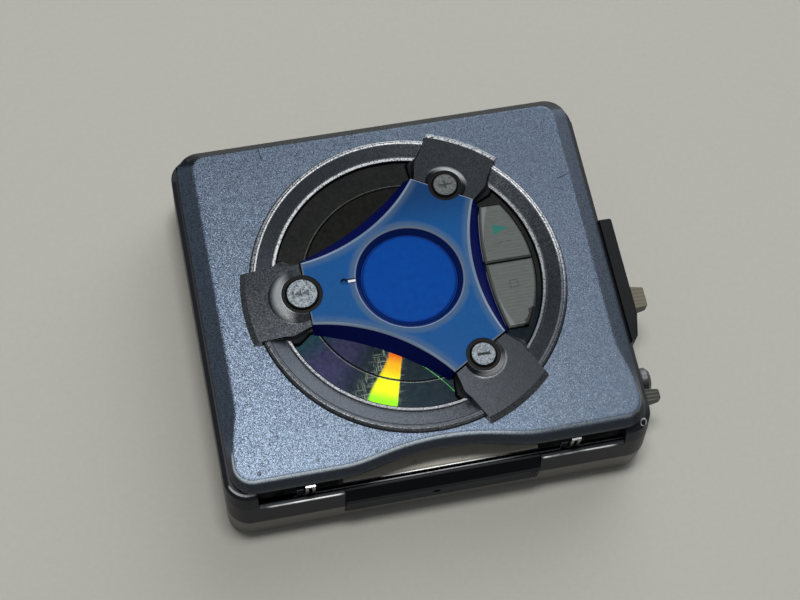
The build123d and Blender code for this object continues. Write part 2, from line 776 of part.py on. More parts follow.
with BuildPart() as sled_motor:
    rod_x((-10.0, 1.0), screw_y, rod_z - 0.1, 2.75)
    rod_x((-11.0, 2.0), screw_y, rod_z, screw_radius + running_gap, Mode.SUBTRACT)
    block((-10.0, 1.0), (screw_y - 2.0, screw_y + 2.0), (rod_z + 1.6, deck_bottom))
finish(sled_motor, "sled_motor")

with BuildPart() as lead_screw:
    rod_x((-9.0, bracket_x[1][1]), screw_y, rod_z, screw_radius)
    rod_x((2.0, 3.2), screw_y, rod_z, 2.4)
finish(lead_screw, "lead_screw")

# ------------------------------------------------------------------ latch bar
loop_y = -lid_half_depth - 0.1
loop_half = 0.95
loop_wire = 0.3
loop_depth = 0.4
loop_bottom = 13.4

with BuildPart() as latch_bar:
    block((-loop_x - 3.1, bar_right), bar_y, (bar_bottom, bar_top))
    block((bar_right - 1.0, bar_right), (bar_y[0], bar_tail_y), open_stem_z)
    for x in (-loop_x, loop_x):
        block((x - loop_half - 1.5, x - loop_half - 0.5), bar_y, (bar_top - 0.4, loop_bottom + 1.9))
        block((x - loop_half - 1.5, x - loop_half - 0.35), bar_y, (loop_bottom + 1.0, loop_bottom + 1.9))
finish(latch_bar, "latch_bar")

# ------------------------------------------------------------------ cartridge holder
holder_side = slot_width / 2 + 0.4
holder_sheet = 0.4
holder_bottom = deck_top + 0.2
holder_top = holder_bottom + cartridge_height + 2 * holder_sheet
holder_front = 5.0 - front_wall_inner
holder_rear = hinge_y - 2.6

with BuildPart() as cartridge_holder:
    block((-holder_side, holder_side), (holder_front, holder_rear), (holder_bottom, holder_top))
    block(
        (-holder_side + holder_sheet, holder_side - holder_sheet), (holder_front - 1, holder_rear + 1),
        (holder_bottom + holder_sheet, holder_top - holder_sheet), Mode.SUBTRACT,
    )
    block(
        (-holder_side + 3.2, holder_side - 3.2), (holder_front - 1, holder_rear + 1),
        (holder_bottom - 1, holder_bottom + 1), Mode.SUBTRACT,
    )
    disc(0, spindle_y, (holder_top - 1, holder_top + 1), 17.0, Mode.SUBTRACT)
    for side in (1, -1):
        near, far = sorted((side * (holder_side - holder_sheet), side * holder_side))
        block((near, far), (holder_rear - 1, hinge_y), (hinge_z - 1.6, holder_top - 0.1))
        rod_x((near, far), hinge_y, hinge_z, 1.6)
        block((near, far), (hinge_y, hinge_y + 2), (hinge_z + 1.6, holder_top), Mode.SUBTRACT)
        rod_x((near - 1, far + 1), hinge_y, hinge_z, hinge_pin_radius + running_gap, Mode.SUBTRACT)
finish(cartridge_holder, "cartridge_holder")

# ------------------------------------------------------------------ lid cover
lid_edge_z = lid_top - lid_bevel_height
ear_x = (slot_width / 2 - 2.9, slot_width / 2 - 0.5)
low_skirt_half = slot_width / 2 - 0.1
low_skirt_bottom = hinge_z - 1.1
rear_skirt_wall = 1.35

with BuildPart() as lid_cover:
    # straight edge
    with BuildSketch(Plane.XY.offset(lid_skirt_bottom)):
        lid_plan(0, 0, 0, 0, wave_depth)
    extrude(amount=lid_edge_z - lid_skirt_bottom)
    # wide bevel round the sides and the rear, narrower towards the front
    with BuildSketch(Plane.XY.offset(lid_edge_z)):
        lid_plan(0, 0, 0, 0, wave_depth)
    with BuildSketch(Plane.XY.offset(lid_top)):
        lid_plan(lid_side_bevel, lid_side_bevel_front, lid_front_bevel, lid_rear_bevel, wave_depth)
    loft(ruled=True)
    # room under the roof
    cavity_side = lid_side - lid_side_wall
    block(
        (-cavity_side, cavity_side), (-lid_half_depth + wave_depth + 1.3, lid_half_depth - rear_skirt_wall),
        (lid_skirt_bottom - 1, roof_under), Mode.SUBTRACT,
    )
    # low skirt over the hinge gap
    block(
        (-low_skirt_half, low_skirt_half), (lid_half_depth - rear_skirt_wall, lid_half_depth),
        (low_skirt_bottom, lid_edge_z - 0.2),
    )
    # hinge ears
    for side in (1, -1):
        near, far = sorted((side * ear_x[0], side * ear_x[1]))
        block((near, far), (hinge_y - 1.6, lid_half_depth - 1.2), (hinge_z, roof_under + 0.3))
        rod_x((near, far), hinge_y, hinge_z, 1.6)
        rod_x((near - 1, far + 1), hinge_y, hinge_z, hinge_pin_radius + running_gap, Mode.SUBTRACT)
        clear = sorted((side * (knuckle_x[0] - 0.35), side * (knuckle_x[1] + 0.35)))
        rod_x(tuple(clear), hinge_y, hinge_z, knuckle_radius + 0.35, Mode.SUBTRACT)
    # round aperture
    disc(hub_x, hub_y, (roof_under - 1, lid_top + 1), aperture_radius + 0.05, Mode.SUBTRACT)
finish(lid_cover, "lid_cover")

with BuildPart() as hinge_pins:
    for side in (1, -1):
        near, far = sorted((side * (ear_x[0] - 0.3), side * (knuckle_x[1] + 0.2)))
        rod_x((near, far), hinge_y, hinge_z, hinge_pin_radius)
finish(hinge_pins, "hinge_pins")

with BuildPart() as latch_loops:
    for x in (-loop_x, loop_x):
        block((x - loop_half, x + loop_half), (loop_y - loop_depth, loop_y + loop_depth), (loop_bottom, lid_skirt_bottom))
        block(
            (x - loop_half + 2 * loop_wire, x + loop_half - 2 * loop_wire),
            (loop_y - 1, loop_y + 1), (loop_bottom + 2 * loop_wire, lid_skirt_bottom - 0.7), Mode.SUBTRACT,
        )
    fillet(latch_loops.edges().filter_by(Axis.Y).group_by(Axis.Z)[0], 0.5)
finish(latch_loops, "latch_loops")

# ------------------------------------------------------------------ window bezel with its lobes
ridge = lid_top + bezel_height

# one side of the lobe's plan, as distances out from the hub and across
lobe_foot = (
    (lobe_radius + 1.5, 7.6),
    (bezel_radius - 0.8, 7.9),
    (window_radius, 8.0),
    (window_radius - 1.9, 9.3),
    (window_radius - 2.7, 9.3),
    (lobe_inner, 7.1),
)
lobe_crest = (
    (lobe_radius + 1.5, 7.0),
    (bezel_radius - 0.8, 7.1),
    (window_radius, 7.1),
    (window_radius - 1.4, 6.9),
    (window_radius - 2.2, 6.8),
    (lobe_inner, 6.3),
)


def lobe_plan(side):
    """A lobe's plan along X, from the points of one side."""
    with BuildLine() as outline:
        Polyline(*side, *[(out, -across) for out, across in reversed(side)], close=True)
    make_face(outline.edges())


with BuildPart() as lobe:
    # the section runs out from the arm's end to the lobe's outer chamfer
    with BuildSketch(Plane.XZ):
        with BuildLine():
            Polyline(
                (lobe_inner - 2, lid_top),
                (lobe_radius, lid_top),
                (lobe_radius, lid_top + 0.25),
                (lobe_radius - 1.0, lid_top + 1.15),
                (lobe_inner - 2, lid_top + lobe_height + 0.1),
                close=True,
            )
        make_face()
    revolve(axis=Axis.Z)

with BuildPart() as lobe_flanks:
    # the sides slope out from the crest to the foot, most at the window's edge
    with BuildSketch(Plane.XY.offset(lid_top)):
        lobe_plan(lobe_foot)
    with BuildSketch(Plane.XY.offset(lid_top + lobe_height + 0.3)):
        lobe_plan(lobe_crest)
    loft(ruled=True)

with lobe:
    add(lobe_flanks.part, mode=Mode.INTERSECT)


def collar_cone(foot, top):
    """The raised cone round a button, in the part being made."""
    height = spoke_top - 0.1 - lid_top
    with Locations((button_circle, 0, lid_top + height / 2)):
        Cone(foot, top, height)


with BuildPart() as button_collars:
    for angle, cap, foot in button_places().values():
        with Locations(Location((hub_x, hub_y, 0), (0, 0, angle))):
            collar_cone(foot, cap + button_ring_width + 0.1)

with BuildPart() as collar_field:
    # the half discs outside the arms' ends, where the collars may stand
    for angle in lobe_angles:
        with Locations(Location((hub_x, hub_y, 0), (0, 0, angle))):
            with Locations((lobe_inner + 4.2, 0, lid_top + 2)):
                Box(8.4, 14.6, 4.0)

with BuildPart() as window_bezel:
    with BuildSketch(hub_section):
        with BuildLine():
            Polyline(
                (window_radius - bezel_ledge, lid_top - lid_roof),
                (window_radius + 0.6, lid_top - lid_roof),
                (window_radius + 0.6, key_board_top),
                (aperture_radius, key_board_top),
                (aperture_radius, lid_top),
                (bezel_radius, lid_top),
                (bezel_radius - 0.6, ridge - 0.1),
                (bezel_radius - 1.0, ridge),
                (bezel_radius - 1.5, ridge - 0.05),
                (window_radius + 1.1, lid_top + 0.3),
                (window_radius + 0.7, lid_top + 0.55),
                (window_radius + 0.25, lid_top + 0.55),
                (window_radius, lid_top + 0.3),
                (window_radius, plate_bottom),
                (window_radius - bezel_ledge, plate_bottom),
                close=True,
            )
        make_face()
    revolve(axis=hub_axis)
    for angle in lobe_angles:
        with Locations(Location((hub_x, hub_y, 0), (0, 0, angle))):
            add(lobe.part)
    add(button_collars.part.intersect(collar_field.part))
    cut_button_wells(button_ring_width + 0.02)
finish(window_bezel, "window_bezel")

# ------------------------------------------------------------------ spoke cover and badge
lamp_slot_x = (hub_x - 13.0, hub_x - badge_rim_radius + 0.3)

with BuildPart() as spoke_cover:
    with BuildSketch(hub_plane.offset(plate_top)):
        spoke_plan(spoke_waist_foot, arm_half_foot)
    with BuildSketch(hub_plane.offset(spoke_top)):
        spoke_plan(spoke_waist_top, arm_half_top)
    loft(ruled=True)
    chamfer(spoke_cover.faces().sort_by(Axis.Z)[-1].edges(), 0.1 * spoke_height)
    with Locations((hub_x, hub_y, spoke_top - badge_recess / 2)):
        Cone(badge_radius + 0.1, badge_rim_radius, badge_recess, mode=Mode.SUBTRACT)
    block(lamp_slot_x, (hub_y + 0.6, hub_y + 1.6), (spoke_top - 0.6, spoke_top + 1), Mode.SUBTRACT)
    disc(lamp_slot_x[0], hub_y + 1.1, (spoke_top - 0.9, spoke_top + 1), 0.75, Mode.SUBTRACT)
    cut_button_wells(button_ring_width + 0.02)
finish(spoke_cover, "spoke_cover")

badge_floor = spoke_top - badge_recess
with BuildPart() as centre_badge:
    disc(hub_x, hub_y, (badge_floor, badge_floor + 0.3), badge_radius)
    chamfer(centre_badge.faces().sort_by(Axis.Z)[-1].edges(), 0.12)
finish(centre_badge, "centre_badge")

with BuildPart() as indicator_lens:
    block((lamp_slot_x[0] + 0.8, lamp_slot_x[1]), (hub_y + 0.85, hub_y + 1.35), (spoke_top - 0.6, spoke_top - 0.1))
finish(indicator_lens, "indicator_lens")

# ------------------------------------------------------------------ window plate, keys, key board
key_middle = key_outer_radius - 5.4
key_foot = (spoke_waist_foot - 0.9, spoke_waist_foot + 2.6)
flange_top = plate_bottom - 0.05
flange_bottom = key_board_top + 0.4 + button_travel

with BuildPart() as key_field:
    # the part of the right window that the two keys share
    with BuildSketch(hub_plane.offset(flange_bottom)):
        Circle(key_outer_radius)
        with Locations((key_middle, 0)):
            Rectangle(12.0, 2 * key_half_length, mode=Mode.INTERSECT)
    extrude(amount=key_top - flange_bottom)
    with BuildSketch(hub_plane.offset(flange_bottom)):
        spoke_plan(spoke_waist_foot + 0.3, arm_half_foot + 0.3)
    extrude(amount=key_top - flange_bottom, mode=Mode.SUBTRACT)

with BuildPart() as key_opening:
    with BuildSketch(hub_plane.offset(plate_bottom)):
        Circle(key_outer_radius + 0.3)
        with Locations((key_middle, 0)):
            Rectangle(12.0, 2 * key_half_length + 0.6, mode=Mode.INTERSECT)
    extrude(amount=plate_thickness)
    with BuildSketch(hub_plane.offset(plate_bottom)):
        spoke_plan(spoke_waist_foot, arm_half_foot)
    extrude(amount=plate_thickness, mode=Mode.SUBTRACT)

with BuildPart() as disc_window:
    disc(hub_x, hub_y, (plate_bottom, plate_top), window_radius - 0.1)
    add(key_opening.part, mode=Mode.SUBTRACT)
    # fine double step of the disc look
    with BuildSketch(hub_plane.offset(plate_top)):
        Circle(window_radius - 5.3)
        Circle(window_radius - 5.7, mode=Mode.SUBTRACT)
    extrude(amount=-0.15, mode=Mode.SUBTRACT)
    for angle, cap, foot in button_places().values():
        x, y = on_hub(angle, button_circle)
        disc(x, y, (plate_bottom - 1, plate_top + 1), cap + button_gap, Mode.SUBTRACT)
finish(disc_window, "disc_window")

for name, near, far in (
    ("play_key", key_split + key_gap / 2, key_half_length),
    ("stop_key", -key_half_length, key_split - key_gap / 2),
):
    with BuildPart() as key:
        add(key_field.part)
        block(
            (hub_x, hub_x + window_radius), (hub_y + near, hub_y + far), (flange_bottom - 1, key_top + 1),
            Mode.INTERSECT,
        )
        chamfer(key.faces().sort_by(Axis.Z)[-1].edges(), 0.35)
        # thin foot under the window plate
        block(
            (hub_x + key_foot[0], hub_x + key_foot[1]), (hub_y + near + 1.0, hub_y + far - 1.0),
            (flange_bottom, flange_top),
        )
    finish(key, name)

with BuildPart() as button_rings:
    for angle, cap, foot in button_places().values():
        x, y = on_hub(angle, button_circle)
        disc(x, y, (plate_top, spoke_top - 0.15), cap + button_ring_width)
        disc(x, y, (plate_top - 1, spoke_top + 1), cap + button_gap, Mode.SUBTRACT)
finish(button_rings, "button_rings")

for name, (angle, cap, foot) in button_places().items():
    x, y = on_hub(angle, button_circle)
    with BuildPart() as button:
        disc(x, y, (flange_bottom, button_top), cap)
        chamfer(button.faces().sort_by(Axis.Z)[-1].edges(), 0.3)
        disc(x, y, (flange_bottom, flange_top), cap + 0.6)
    finish(button, name)

with BuildPart() as key_board:
    disc(hub_x, hub_y, (key_board_top - key_board_thickness, key_board_top), aperture_radius - 0.4)
finish(key_board, "key_board")

switch_places = [on_hub(angle, button_circle) for angle, cap, foot in button_places().values()]
switch_places += [(hub_x + key_middle - 0.4, hub_y + y) for y in (7.0, -6.2)]
with BuildPart() as key_switches:
    for x, y in switch_places:
        disc(x, y, (key_board_top, key_board_top + 0.38), 1.9)
finish(key_switches, "key_switches")

# ------------------------------------------------------------------ screws
with BuildPart() as case_screws:
    for x, y in screw_places:
        disc(x, y, (0.05, 0.6), screw_head_radius)
        disc(x, y, (0.6, screw_boss_top - 0.8), screw_radius_shank)
        # crosshead recess
        block((x - 0.9, x + 0.9), (y - 0.2, y + 0.2), (0, 0.35), Mode.SUBTRACT)
        block((x - 0.2, x + 0.2), (y - 0.9, y + 0.9), (0, 0.35), Mode.SUBTRACT)
finish(case_screws, "case_screws")
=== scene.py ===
# %% [markdown]
# # A pocket disc player, dressed in Blender
# The solids of the player come from a CAD file: case, lid, window, spoke cover, buttons and the drive
# inside. Here they get their paint, wear and small pressed signs, a table to lie on, light and a camera.
# Everything is in metres, in the CAD file's own frame, so nothing has to be fitted by hand.

# %% Load the player's solids
from math import cos, radians, sin

import bpy
from mathutils import Matrix, Vector

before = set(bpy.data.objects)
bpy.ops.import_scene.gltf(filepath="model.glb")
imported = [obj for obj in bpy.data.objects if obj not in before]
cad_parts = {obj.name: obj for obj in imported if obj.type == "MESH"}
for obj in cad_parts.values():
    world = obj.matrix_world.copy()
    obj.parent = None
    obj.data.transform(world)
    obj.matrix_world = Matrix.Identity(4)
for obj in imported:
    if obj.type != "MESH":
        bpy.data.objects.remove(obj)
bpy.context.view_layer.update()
MM = 0.001

# %% [markdown]
# ## The camera
# The photographer held the lens about a third of a metre above the player, a little in front of it.
# A camera's matrix has its own right, up and backward directions as columns, and its place as the last
# one. Writing those three directions is surer than turning the camera by eye. The lens is long enough
# that the far edge of the lid looks hardly narrower than the near one.

# %% Put the camera where the photographer stood
camera_right = Vector((0.97753, -0.20152, 0.06179))
camera_up = Vector((0.16195, 0.90571, 0.39173))
camera_back = Vector((-0.13490, -0.37292, 0.91800))
camera_place = Vector((-48.719, -132.082, 337.837)) * MM

lens = bpy.data.cameras.new("viewpoint")
lens.sensor_width = 36.0
lens.lens = 78.4535
lens.clip_start = 0.01
camera = bpy.data.objects.new("viewpoint", lens)
bpy.context.scene.collection.objects.link(camera)
turn = Matrix((camera_right, camera_up, camera_back)).transposed().to_4x4()
camera.matrix_world = Matrix.Translation(camera_place) @ turn
bpy.context.scene.camera = camera
print("camera", round(camera_place.length, 3), "m from the origin, lens", lens.lens, "mm")

# %% [markdown]
# ## A small kit for finishes
# A finish is a material whose colour, gloss and fine relief are worked out from the place on the piece.
# Blender writes such sums as nodes. Wiring them one by one takes a page for each material, so this class
# makes one node per call and gives back its output, which the next call can take in. The place comes
# from the object's own coordinates: the paint stays on its piece when the lid swings open.

# %% The finish kit: wiring and sums
class Finish:
    """A material built from sums over the place on the piece. Lengths are in millimetres."""

    def __init__(self, name, roughness=0.5, metallic=0.0, coat=0.0, shine=0.5):
        self.material = bpy.data.materials.new(name)
        self.material.use_nodes = True
        self.tree = self.material.node_tree
        self.shader = self.tree.nodes["Principled BSDF"]
        self.shader.inputs["Roughness"].default_value = roughness
        self.shader.inputs["Metallic"].default_value = metallic
        self.shader.inputs["Coat Weight"].default_value = coat
        self.shader.inputs["Coat Roughness"].default_value = 0.08
        self.shader.inputs["Specular IOR Level"].default_value = shine
        metres = self.tree.nodes.new("ShaderNodeTexCoord").outputs["Object"]
        self.place = self.vector("SCALE", metres, scale=1.0 / MM)
        self.normal = None

    def put(self, socket, value):
        """Link a node's output to a socket, or write a plain value there."""
        if isinstance(value, bpy.types.NodeSocket):
            self.tree.links.new(value, socket)
        elif isinstance(value, tuple) and socket.type == "RGBA":
            socket.default_value = (*value, 1.0)
        else:
            socket.default_value = value

    def maths(self, operation, first, second=0.0):
        node = self.tree.nodes.new("ShaderNodeMath")
        node.operation = operation
        for socket, value in zip(node.inputs, (first, second)):
            self.put(socket, value)
        return node.outputs[0]

    def vector(self, operation, first, second=(0.0, 0.0, 0.0), scale=1.0):
        node = self.tree.nodes.new("ShaderNodeVectorMath")
        node.operation = operation
        self.put(node.inputs[0], first)
        if operation == "SCALE":
            node.inputs["Scale"].default_value = scale
        else:
            self.put(node.inputs[1], second)
        return node.outputs["Value"] if operation in ("DISTANCE", "DOT_PRODUCT") else node.outputs[0]

    def times(self, *values):
        product = values[0]
        for value in values[1:]:
            product = self.maths("MULTIPLY", product, value)
        return product

    def either(self, *values):
        most = values[0]
        for value in values[1:]:
            most = self.maths("MAXIMUM", most, value)
        return most

    def inverse(self, value):
        return self.maths("SUBTRACT", 1.0, value)

    def ramp(self, value, low, high):
        """0 at low, 1 at high, smooth between. A low above high turns it round."""
        node = self.tree.nodes.new("ShaderNodeMapRange")
        node.interpolation_type = "SMOOTHSTEP"
        self.put(node.inputs["Value"], value)
        node.inputs["From Min"].default_value = min(low, high)
        node.inputs["From Max"].default_value = max(low, high)
        rising = node.outputs["Result"]
        return rising if low < high else self.inverse(rising)

    def band(self, value, low, high, soft):
        """1 between low and high, fading to 0 over soft on both sides."""
        return self.times(self.ramp(value, low - soft, low), self.ramp(value, high + soft, high))

    def blend(self, amount, first, second):
        node = self.tree.nodes.new("ShaderNodeMix")
        node.data_type = "RGBA"
        # a mix node has sockets for numbers, vectors and colours: the colours go in at 6 and 7, out at 2
        factor, colour_in, other_in = node.inputs[0], node.inputs[6], node.inputs[7]
        for socket, value in ((factor, amount), (colour_in, first), (other_in, second)):
            self.put(socket, value)
        return node.outputs[2]


print("the kit can add, multiply, fade and mix")

# %% [markdown]
# Directions are the piece's own ones, not the room's, so a bevel keeps its paint when the lid swings
# open. Noise gives soft clouds, and Voronoi cells give crisp flakes, each with one value of its own.

# %% The finish kit: places and grain
def along(self, axis, vector=None):
    """One part of a vector, by its letter. Without a vector, of the place."""
    node = self.tree.nodes.new("ShaderNodeSeparateXYZ")
    self.put(node.inputs[0], vector or self.place)
    return node.outputs["XYZ".index(axis)]


def facing(self, x, y, z):
    """How far the bare surface faces along a direction of its piece: 1 straight along, -1 straight away."""
    node = self.tree.nodes.new("ShaderNodeVectorTransform")
    node.vector_type = "NORMAL"
    node.convert_from = "WORLD"
    node.convert_to = "OBJECT"
    self.put(node.inputs[0], self.tree.nodes.new("ShaderNodeNewGeometry").outputs["True Normal"])
    return self.vector("DOT_PRODUCT", node.outputs[0], tuple(Vector((x, y, z)).normalized()))


def from_axis(self, x, y):
    """Distance from an upright axis."""
    flat = self.vector("MULTIPLY", self.place, (1.0, 1.0, 0.0))
    return self.vector("DISTANCE", flat, (x, y, 0.0))


def from_point(self, x, y, z):
    return self.vector("DISTANCE", self.place, (x, y, z))


def heading(self, x, y):
    """The angle about an upright axis in degrees, from -180 to 180, 0 along X."""
    side = self.maths("SUBTRACT", self.along("Y"), y)
    ahead = self.maths("SUBTRACT", self.along("X"), x)
    return self.maths("DEGREES", self.maths("ARCTAN2", side, ahead))


def grain(self, size, detail=2.0, stretch=(1.0, 1.0, 1.0)):
    """Soft random patches of about this size, from 0 to 1. A small stretch draws them out."""
    node = self.tree.nodes.new("ShaderNodeTexNoise")
    self.put(node.inputs["Vector"], self.vector("MULTIPLY", self.place, stretch))
    node.inputs["Scale"].default_value = 1.0 / size
    node.inputs["Detail"].default_value = detail
    return node.outputs["Fac"]


def flakes(self, size):
    """Crisp random cells of about this size, as three random values each."""
    node = self.tree.nodes.new("ShaderNodeTexVoronoi")
    self.put(node.inputs["Vector"], self.place)
    node.inputs["Scale"].default_value = 1.0 / size
    return node.outputs["Color"]


for skill in (along, facing, from_axis, from_point, heading, grain, flakes):
    setattr(Finish, skill.__name__, skill)
print("the kit can read a place and a direction, and make grain and flakes")

# %% [markdown]
# A finish ends at the shader. Colour, roughness and metal are one socket each. The surface's direction
# is built up in steps: sharp edges are rounded first, then flakes are tipped, and relief comes last. So
# each step takes the direction that the one before it left.

# %% The finish kit: the shader and its relief
def paint(self, colour):
    self.put(self.shader.inputs["Base Color"], colour)


def gloss(self, roughness):
    self.put(self.shader.inputs["Roughness"], roughness)


def metal(self, amount):
    self.put(self.shader.inputs["Metallic"], amount)


def face(self, normal):
    """Use this as the surface's direction, and as the ground for the next relief."""
    self.normal = normal
    self.put(self.shader.inputs["Normal"], normal)


def soften(self, radius):
    """Let sharp edges catch the light as if they were rounded by this radius."""
    node = self.tree.nodes.new("ShaderNodeBevel")
    node.samples = 6
    node.inputs["Radius"].default_value = radius * MM
    self.face(node.outputs[0])


def relief(self, height, depth):
    """Raise the surface by depth where height is 1."""
    node = self.tree.nodes.new("ShaderNodeBump")
    node.inputs["Distance"].default_value = depth * MM
    self.put(node.inputs["Height"], height)
    if self.normal:
        self.put(node.inputs["Normal"], self.normal)
    self.face(node.outputs["Normal"])


def glitter(self, flake, tilt):
    """Tip each flake's face its own way, by up to about this much."""
    ground = self.normal or self.tree.nodes.new("ShaderNodeNewGeometry").outputs["Normal"]
    lean = self.vector("SCALE", self.vector("SUBTRACT", flake, (0.5, 0.5, 0.5)), scale=2 * tilt)
    self.face(self.vector("NORMALIZE", self.vector("ADD", ground, lean)))


for skill in (paint, gloss, metal, face, soften, relief, glitter):
    setattr(Finish, skill.__name__, skill)
print("the kit can paint, polish, round edges and raise relief")

# %% [markdown]
# Colours are judged on a screen, but light adds up in linear values. So a screen colour is made linear
# before a shader gets it. A CAD piece gets a finish by replacing the material in its slots, and its
# mesh stays as it is.

# %% Colours, and dressing a piece
def level(screen):
    """The linear value of an 8-bit screen level."""
    part = screen / 255
    return part / 12.92 if part <= 0.04045 else ((part + 0.055) / 1.055) ** 2.4


def tone(red, green, blue):
    """A colour as it reads on a screen, made linear for the shader."""
    return (level(red), level(green), level(blue))


def dress(finish, *names):
    """Give CAD nodes a finish."""
    for name in names:
        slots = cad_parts[name].data.materials
        slots.clear()
        slots.append(finish.material)


print("mid grey is", round(level(128), 3), "in linear light")

# %% [markdown]
# Signs on this player are only bars, plus signs and arrowheads. They need no picture: a bar is a place
# where two distances are both small, and an arrowhead narrows evenly towards its tip. All of them are
# worked out from above, so they sit on the top faces. Chipped paint is a soft place with noise on top.

# %% The finish kit: signs and wear
def bar(self, x, y, length, width, angle=0.0, soft=0.06):
    """1 inside a straight bar seen from above, by its middle, length, width and direction."""
    turn = radians(angle)
    away = self.vector("SUBTRACT", self.place, (x, y, 0.0))
    ahead = self.vector("DOT_PRODUCT", away, (cos(turn), sin(turn), 0.0))
    aside = self.vector("DOT_PRODUCT", away, (-sin(turn), cos(turn), 0.0))
    return self.times(self.band(ahead, -length / 2, length / 2, soft),
                      self.band(aside, -width / 2, width / 2, soft))


def arrowhead(self, tip, y, length, half):
    """1 inside an arrowhead along X seen from above. A negative length points it to the left."""
    back = self.maths("SUBTRACT", tip, self.along("X"))
    part = self.maths("DIVIDE", back, length)
    width = self.maths("MULTIPLY", part, half)
    aside = self.maths("ABSOLUTE", self.maths("SUBTRACT", self.along("Y"), y))
    inside = self.ramp(self.maths("SUBTRACT", width, aside), -0.06, 0.06)
    return self.times(inside, self.ramp(part, 1.02, 0.98), self.ramp(part, -0.01, 0.01))


def chips(self, where, size, share):
    """Ragged spots inside a soft place. A larger share covers more of it."""
    return self.ramp(self.maths("ADD", self.grain(size, 3.0), self.maths("MULTIPLY", where, share)),
                     0.80, 0.84)


for skill in (bar, arrowhead, chips):
    setattr(Finish, skill.__name__, skill)

# places seen from above and radii, in millimetres
HUB = (0.4, 0.25)
TRACK_BACK = (-21.2, 0.25)
VOLUME_UP = (11.52, 18.77)
VOLUME_DOWN = (11.2, -18.46)
TRACK_CAP = 3.25
VOLUME_CAP = 2.6
SPINDLE = (0.0, -1.8)
PICKUP_LENS = (16.3, -1.8)
# the far centres of the arcs that hollow the spoke cover's three sides
RIGHT_ARC = (48.7, 0.25)
REAR_ARC = (-23.75, 42.08)
FRONT_ARC = (-23.75, -41.58)
print("signs can be drawn round the hub at", HUB)

# %% [markdown]
# ## Table, light and air
# The player lies on a plain pale table. Light comes from two places: a small soft ceiling panel almost
# straight above, and the room itself, dim all round and brighter at the back right, where its window
# is. A glow that wide leaves hardly any shadow, but metal mirrors it. Together they bring about as much
# light to the table as a white card would need to look white, so each colour renders about as it is
# written. The panel mirrors in the metallic paint towards the camera near the front left corner of the
# lid, which is brightest there.

# %% Table and light
bpy.ops.mesh.primitive_plane_add(size=3.0, location=(0, 0, 0))
table_top = bpy.context.object
table_top.name = "table_top"
table_finish = Finish("table_pale", roughness=0.7)
table_finish.paint(table_finish.blend(table_finish.grain(1.1, 3.0),
                                      tone(176, 175, 168), tone(183, 182, 175)))
table_top.data.materials.append(table_finish.material)

air = bpy.data.worlds.new("room")
bpy.context.scene.world = air
air.use_nodes = True
room = air.node_tree.nodes["Background"]
room.inputs["Color"].default_value = (0.95, 0.975, 1.0, 1.0)
towards = air.node_tree.nodes.new("ShaderNodeTexCoord").outputs["Generated"]
nearness = air.node_tree.nodes.new("ShaderNodeVectorMath")
nearness.operation = "DOT_PRODUCT"
window_direction = Vector((0.50, 0.75, 0.42)).normalized()
nearness.inputs[1].default_value = tuple(window_direction)
glow = air.node_tree.nodes.new("ShaderNodeMapRange")
glow.interpolation_type = "SMOOTHSTEP"
for socket, value in (("From Min", 0.76), ("From Max", 0.98), ("To Min", 0.17), ("To Max", 2.8)):
    glow.inputs[socket].default_value = value
air.node_tree.links.new(towards, nearness.inputs[0])
air.node_tree.links.new(nearness.outputs["Value"], glow.inputs["Value"])
air.node_tree.links.new(glow.outputs["Result"], room.inputs["Strength"])

light = bpy.data.lights.new("ceiling_panel", "AREA")
light.shape = "RECTANGLE"
light.size = 0.32
light.size_y = 0.18
light.energy = 4.95
light.color = (1.0, 0.995, 0.97)
ceiling_panel = bpy.data.objects.new("ceiling_panel", light)
bpy.context.scene.collection.objects.link(ceiling_panel)
ceiling_panel.location = (-0.02, 0.10, 0.96)
ceiling_panel.rotation_euler = (-ceiling_panel.location).to_track_quat("-Z", "Y").to_euler()
bpy.context.scene.view_settings.view_transform = "Standard"
print("lamps:", [light.name for light in bpy.data.lights])

# %% [markdown]
# ## The lid's metallic paint
# The lid is silver-blue with aluminium flakes in the paint. Seen close, every flake lies at its own
# angle, so it is brighter or darker than its neighbour. Random cells a seventh of a millimetre wide give
# that grain: each cell gets its own shade, and its own tilt, so that some catch the lamp. Years in
# pockets have chipped the two front corners down to dark primer and bare metal. The bevel along the
# wavy front edge has a painted highlight at its top and painted shade below, and the rear and right
# bevels are painted dark as shade.

# %% Lid paint
lid_paint = Finish("lid_paint", roughness=0.32, metallic=0.70)
flake = lid_paint.flakes(0.14)
shade = lid_paint.along("X", flake)
coat = lid_paint.blend(shade, (0.030, 0.043, 0.068), (0.142, 0.190, 0.268))
coat = lid_paint.blend(lid_paint.times(lid_paint.grain(8.0, 3.0), 0.35), coat, (0.086, 0.100, 0.118))
left_corner, right_corner = (-40.3, -36.0, 18.9), (39.6, -36.0, 19.6)
corners = lid_paint.either(lid_paint.ramp(lid_paint.from_point(*left_corner), 3.6, 1.4),
                           lid_paint.ramp(lid_paint.from_point(*right_corner), 3.6, 1.0))
bare = lid_paint.chips(corners, 0.32, 0.40)
primer = lid_paint.ramp(lid_paint.grain(0.22), 0.58, 0.50)
coat = lid_paint.blend(bare, coat, lid_paint.blend(primer, (0.42, 0.43, 0.44), (0.008, 0.009, 0.012)))
dents = lid_paint.either(
    lid_paint.ramp(lid_paint.from_point(-35.6, -33.6, 21.0), 0.45, 0.3),
    lid_paint.ramp(lid_paint.from_point(-37.3, -31.8, 20.8), 0.30, 0.2),
    lid_paint.bar(-24.0, 33.6, 3.4, 0.10, 96.0),
    lid_paint.bar(36.2, 17.8, 2.4, 0.12, 18.0),
    lid_paint.bar(35.0, 15.2, 1.4, 0.08, 150.0),
)
coat = lid_paint.blend(lid_paint.times(dents, 0.8), coat, (0.016, 0.018, 0.022))
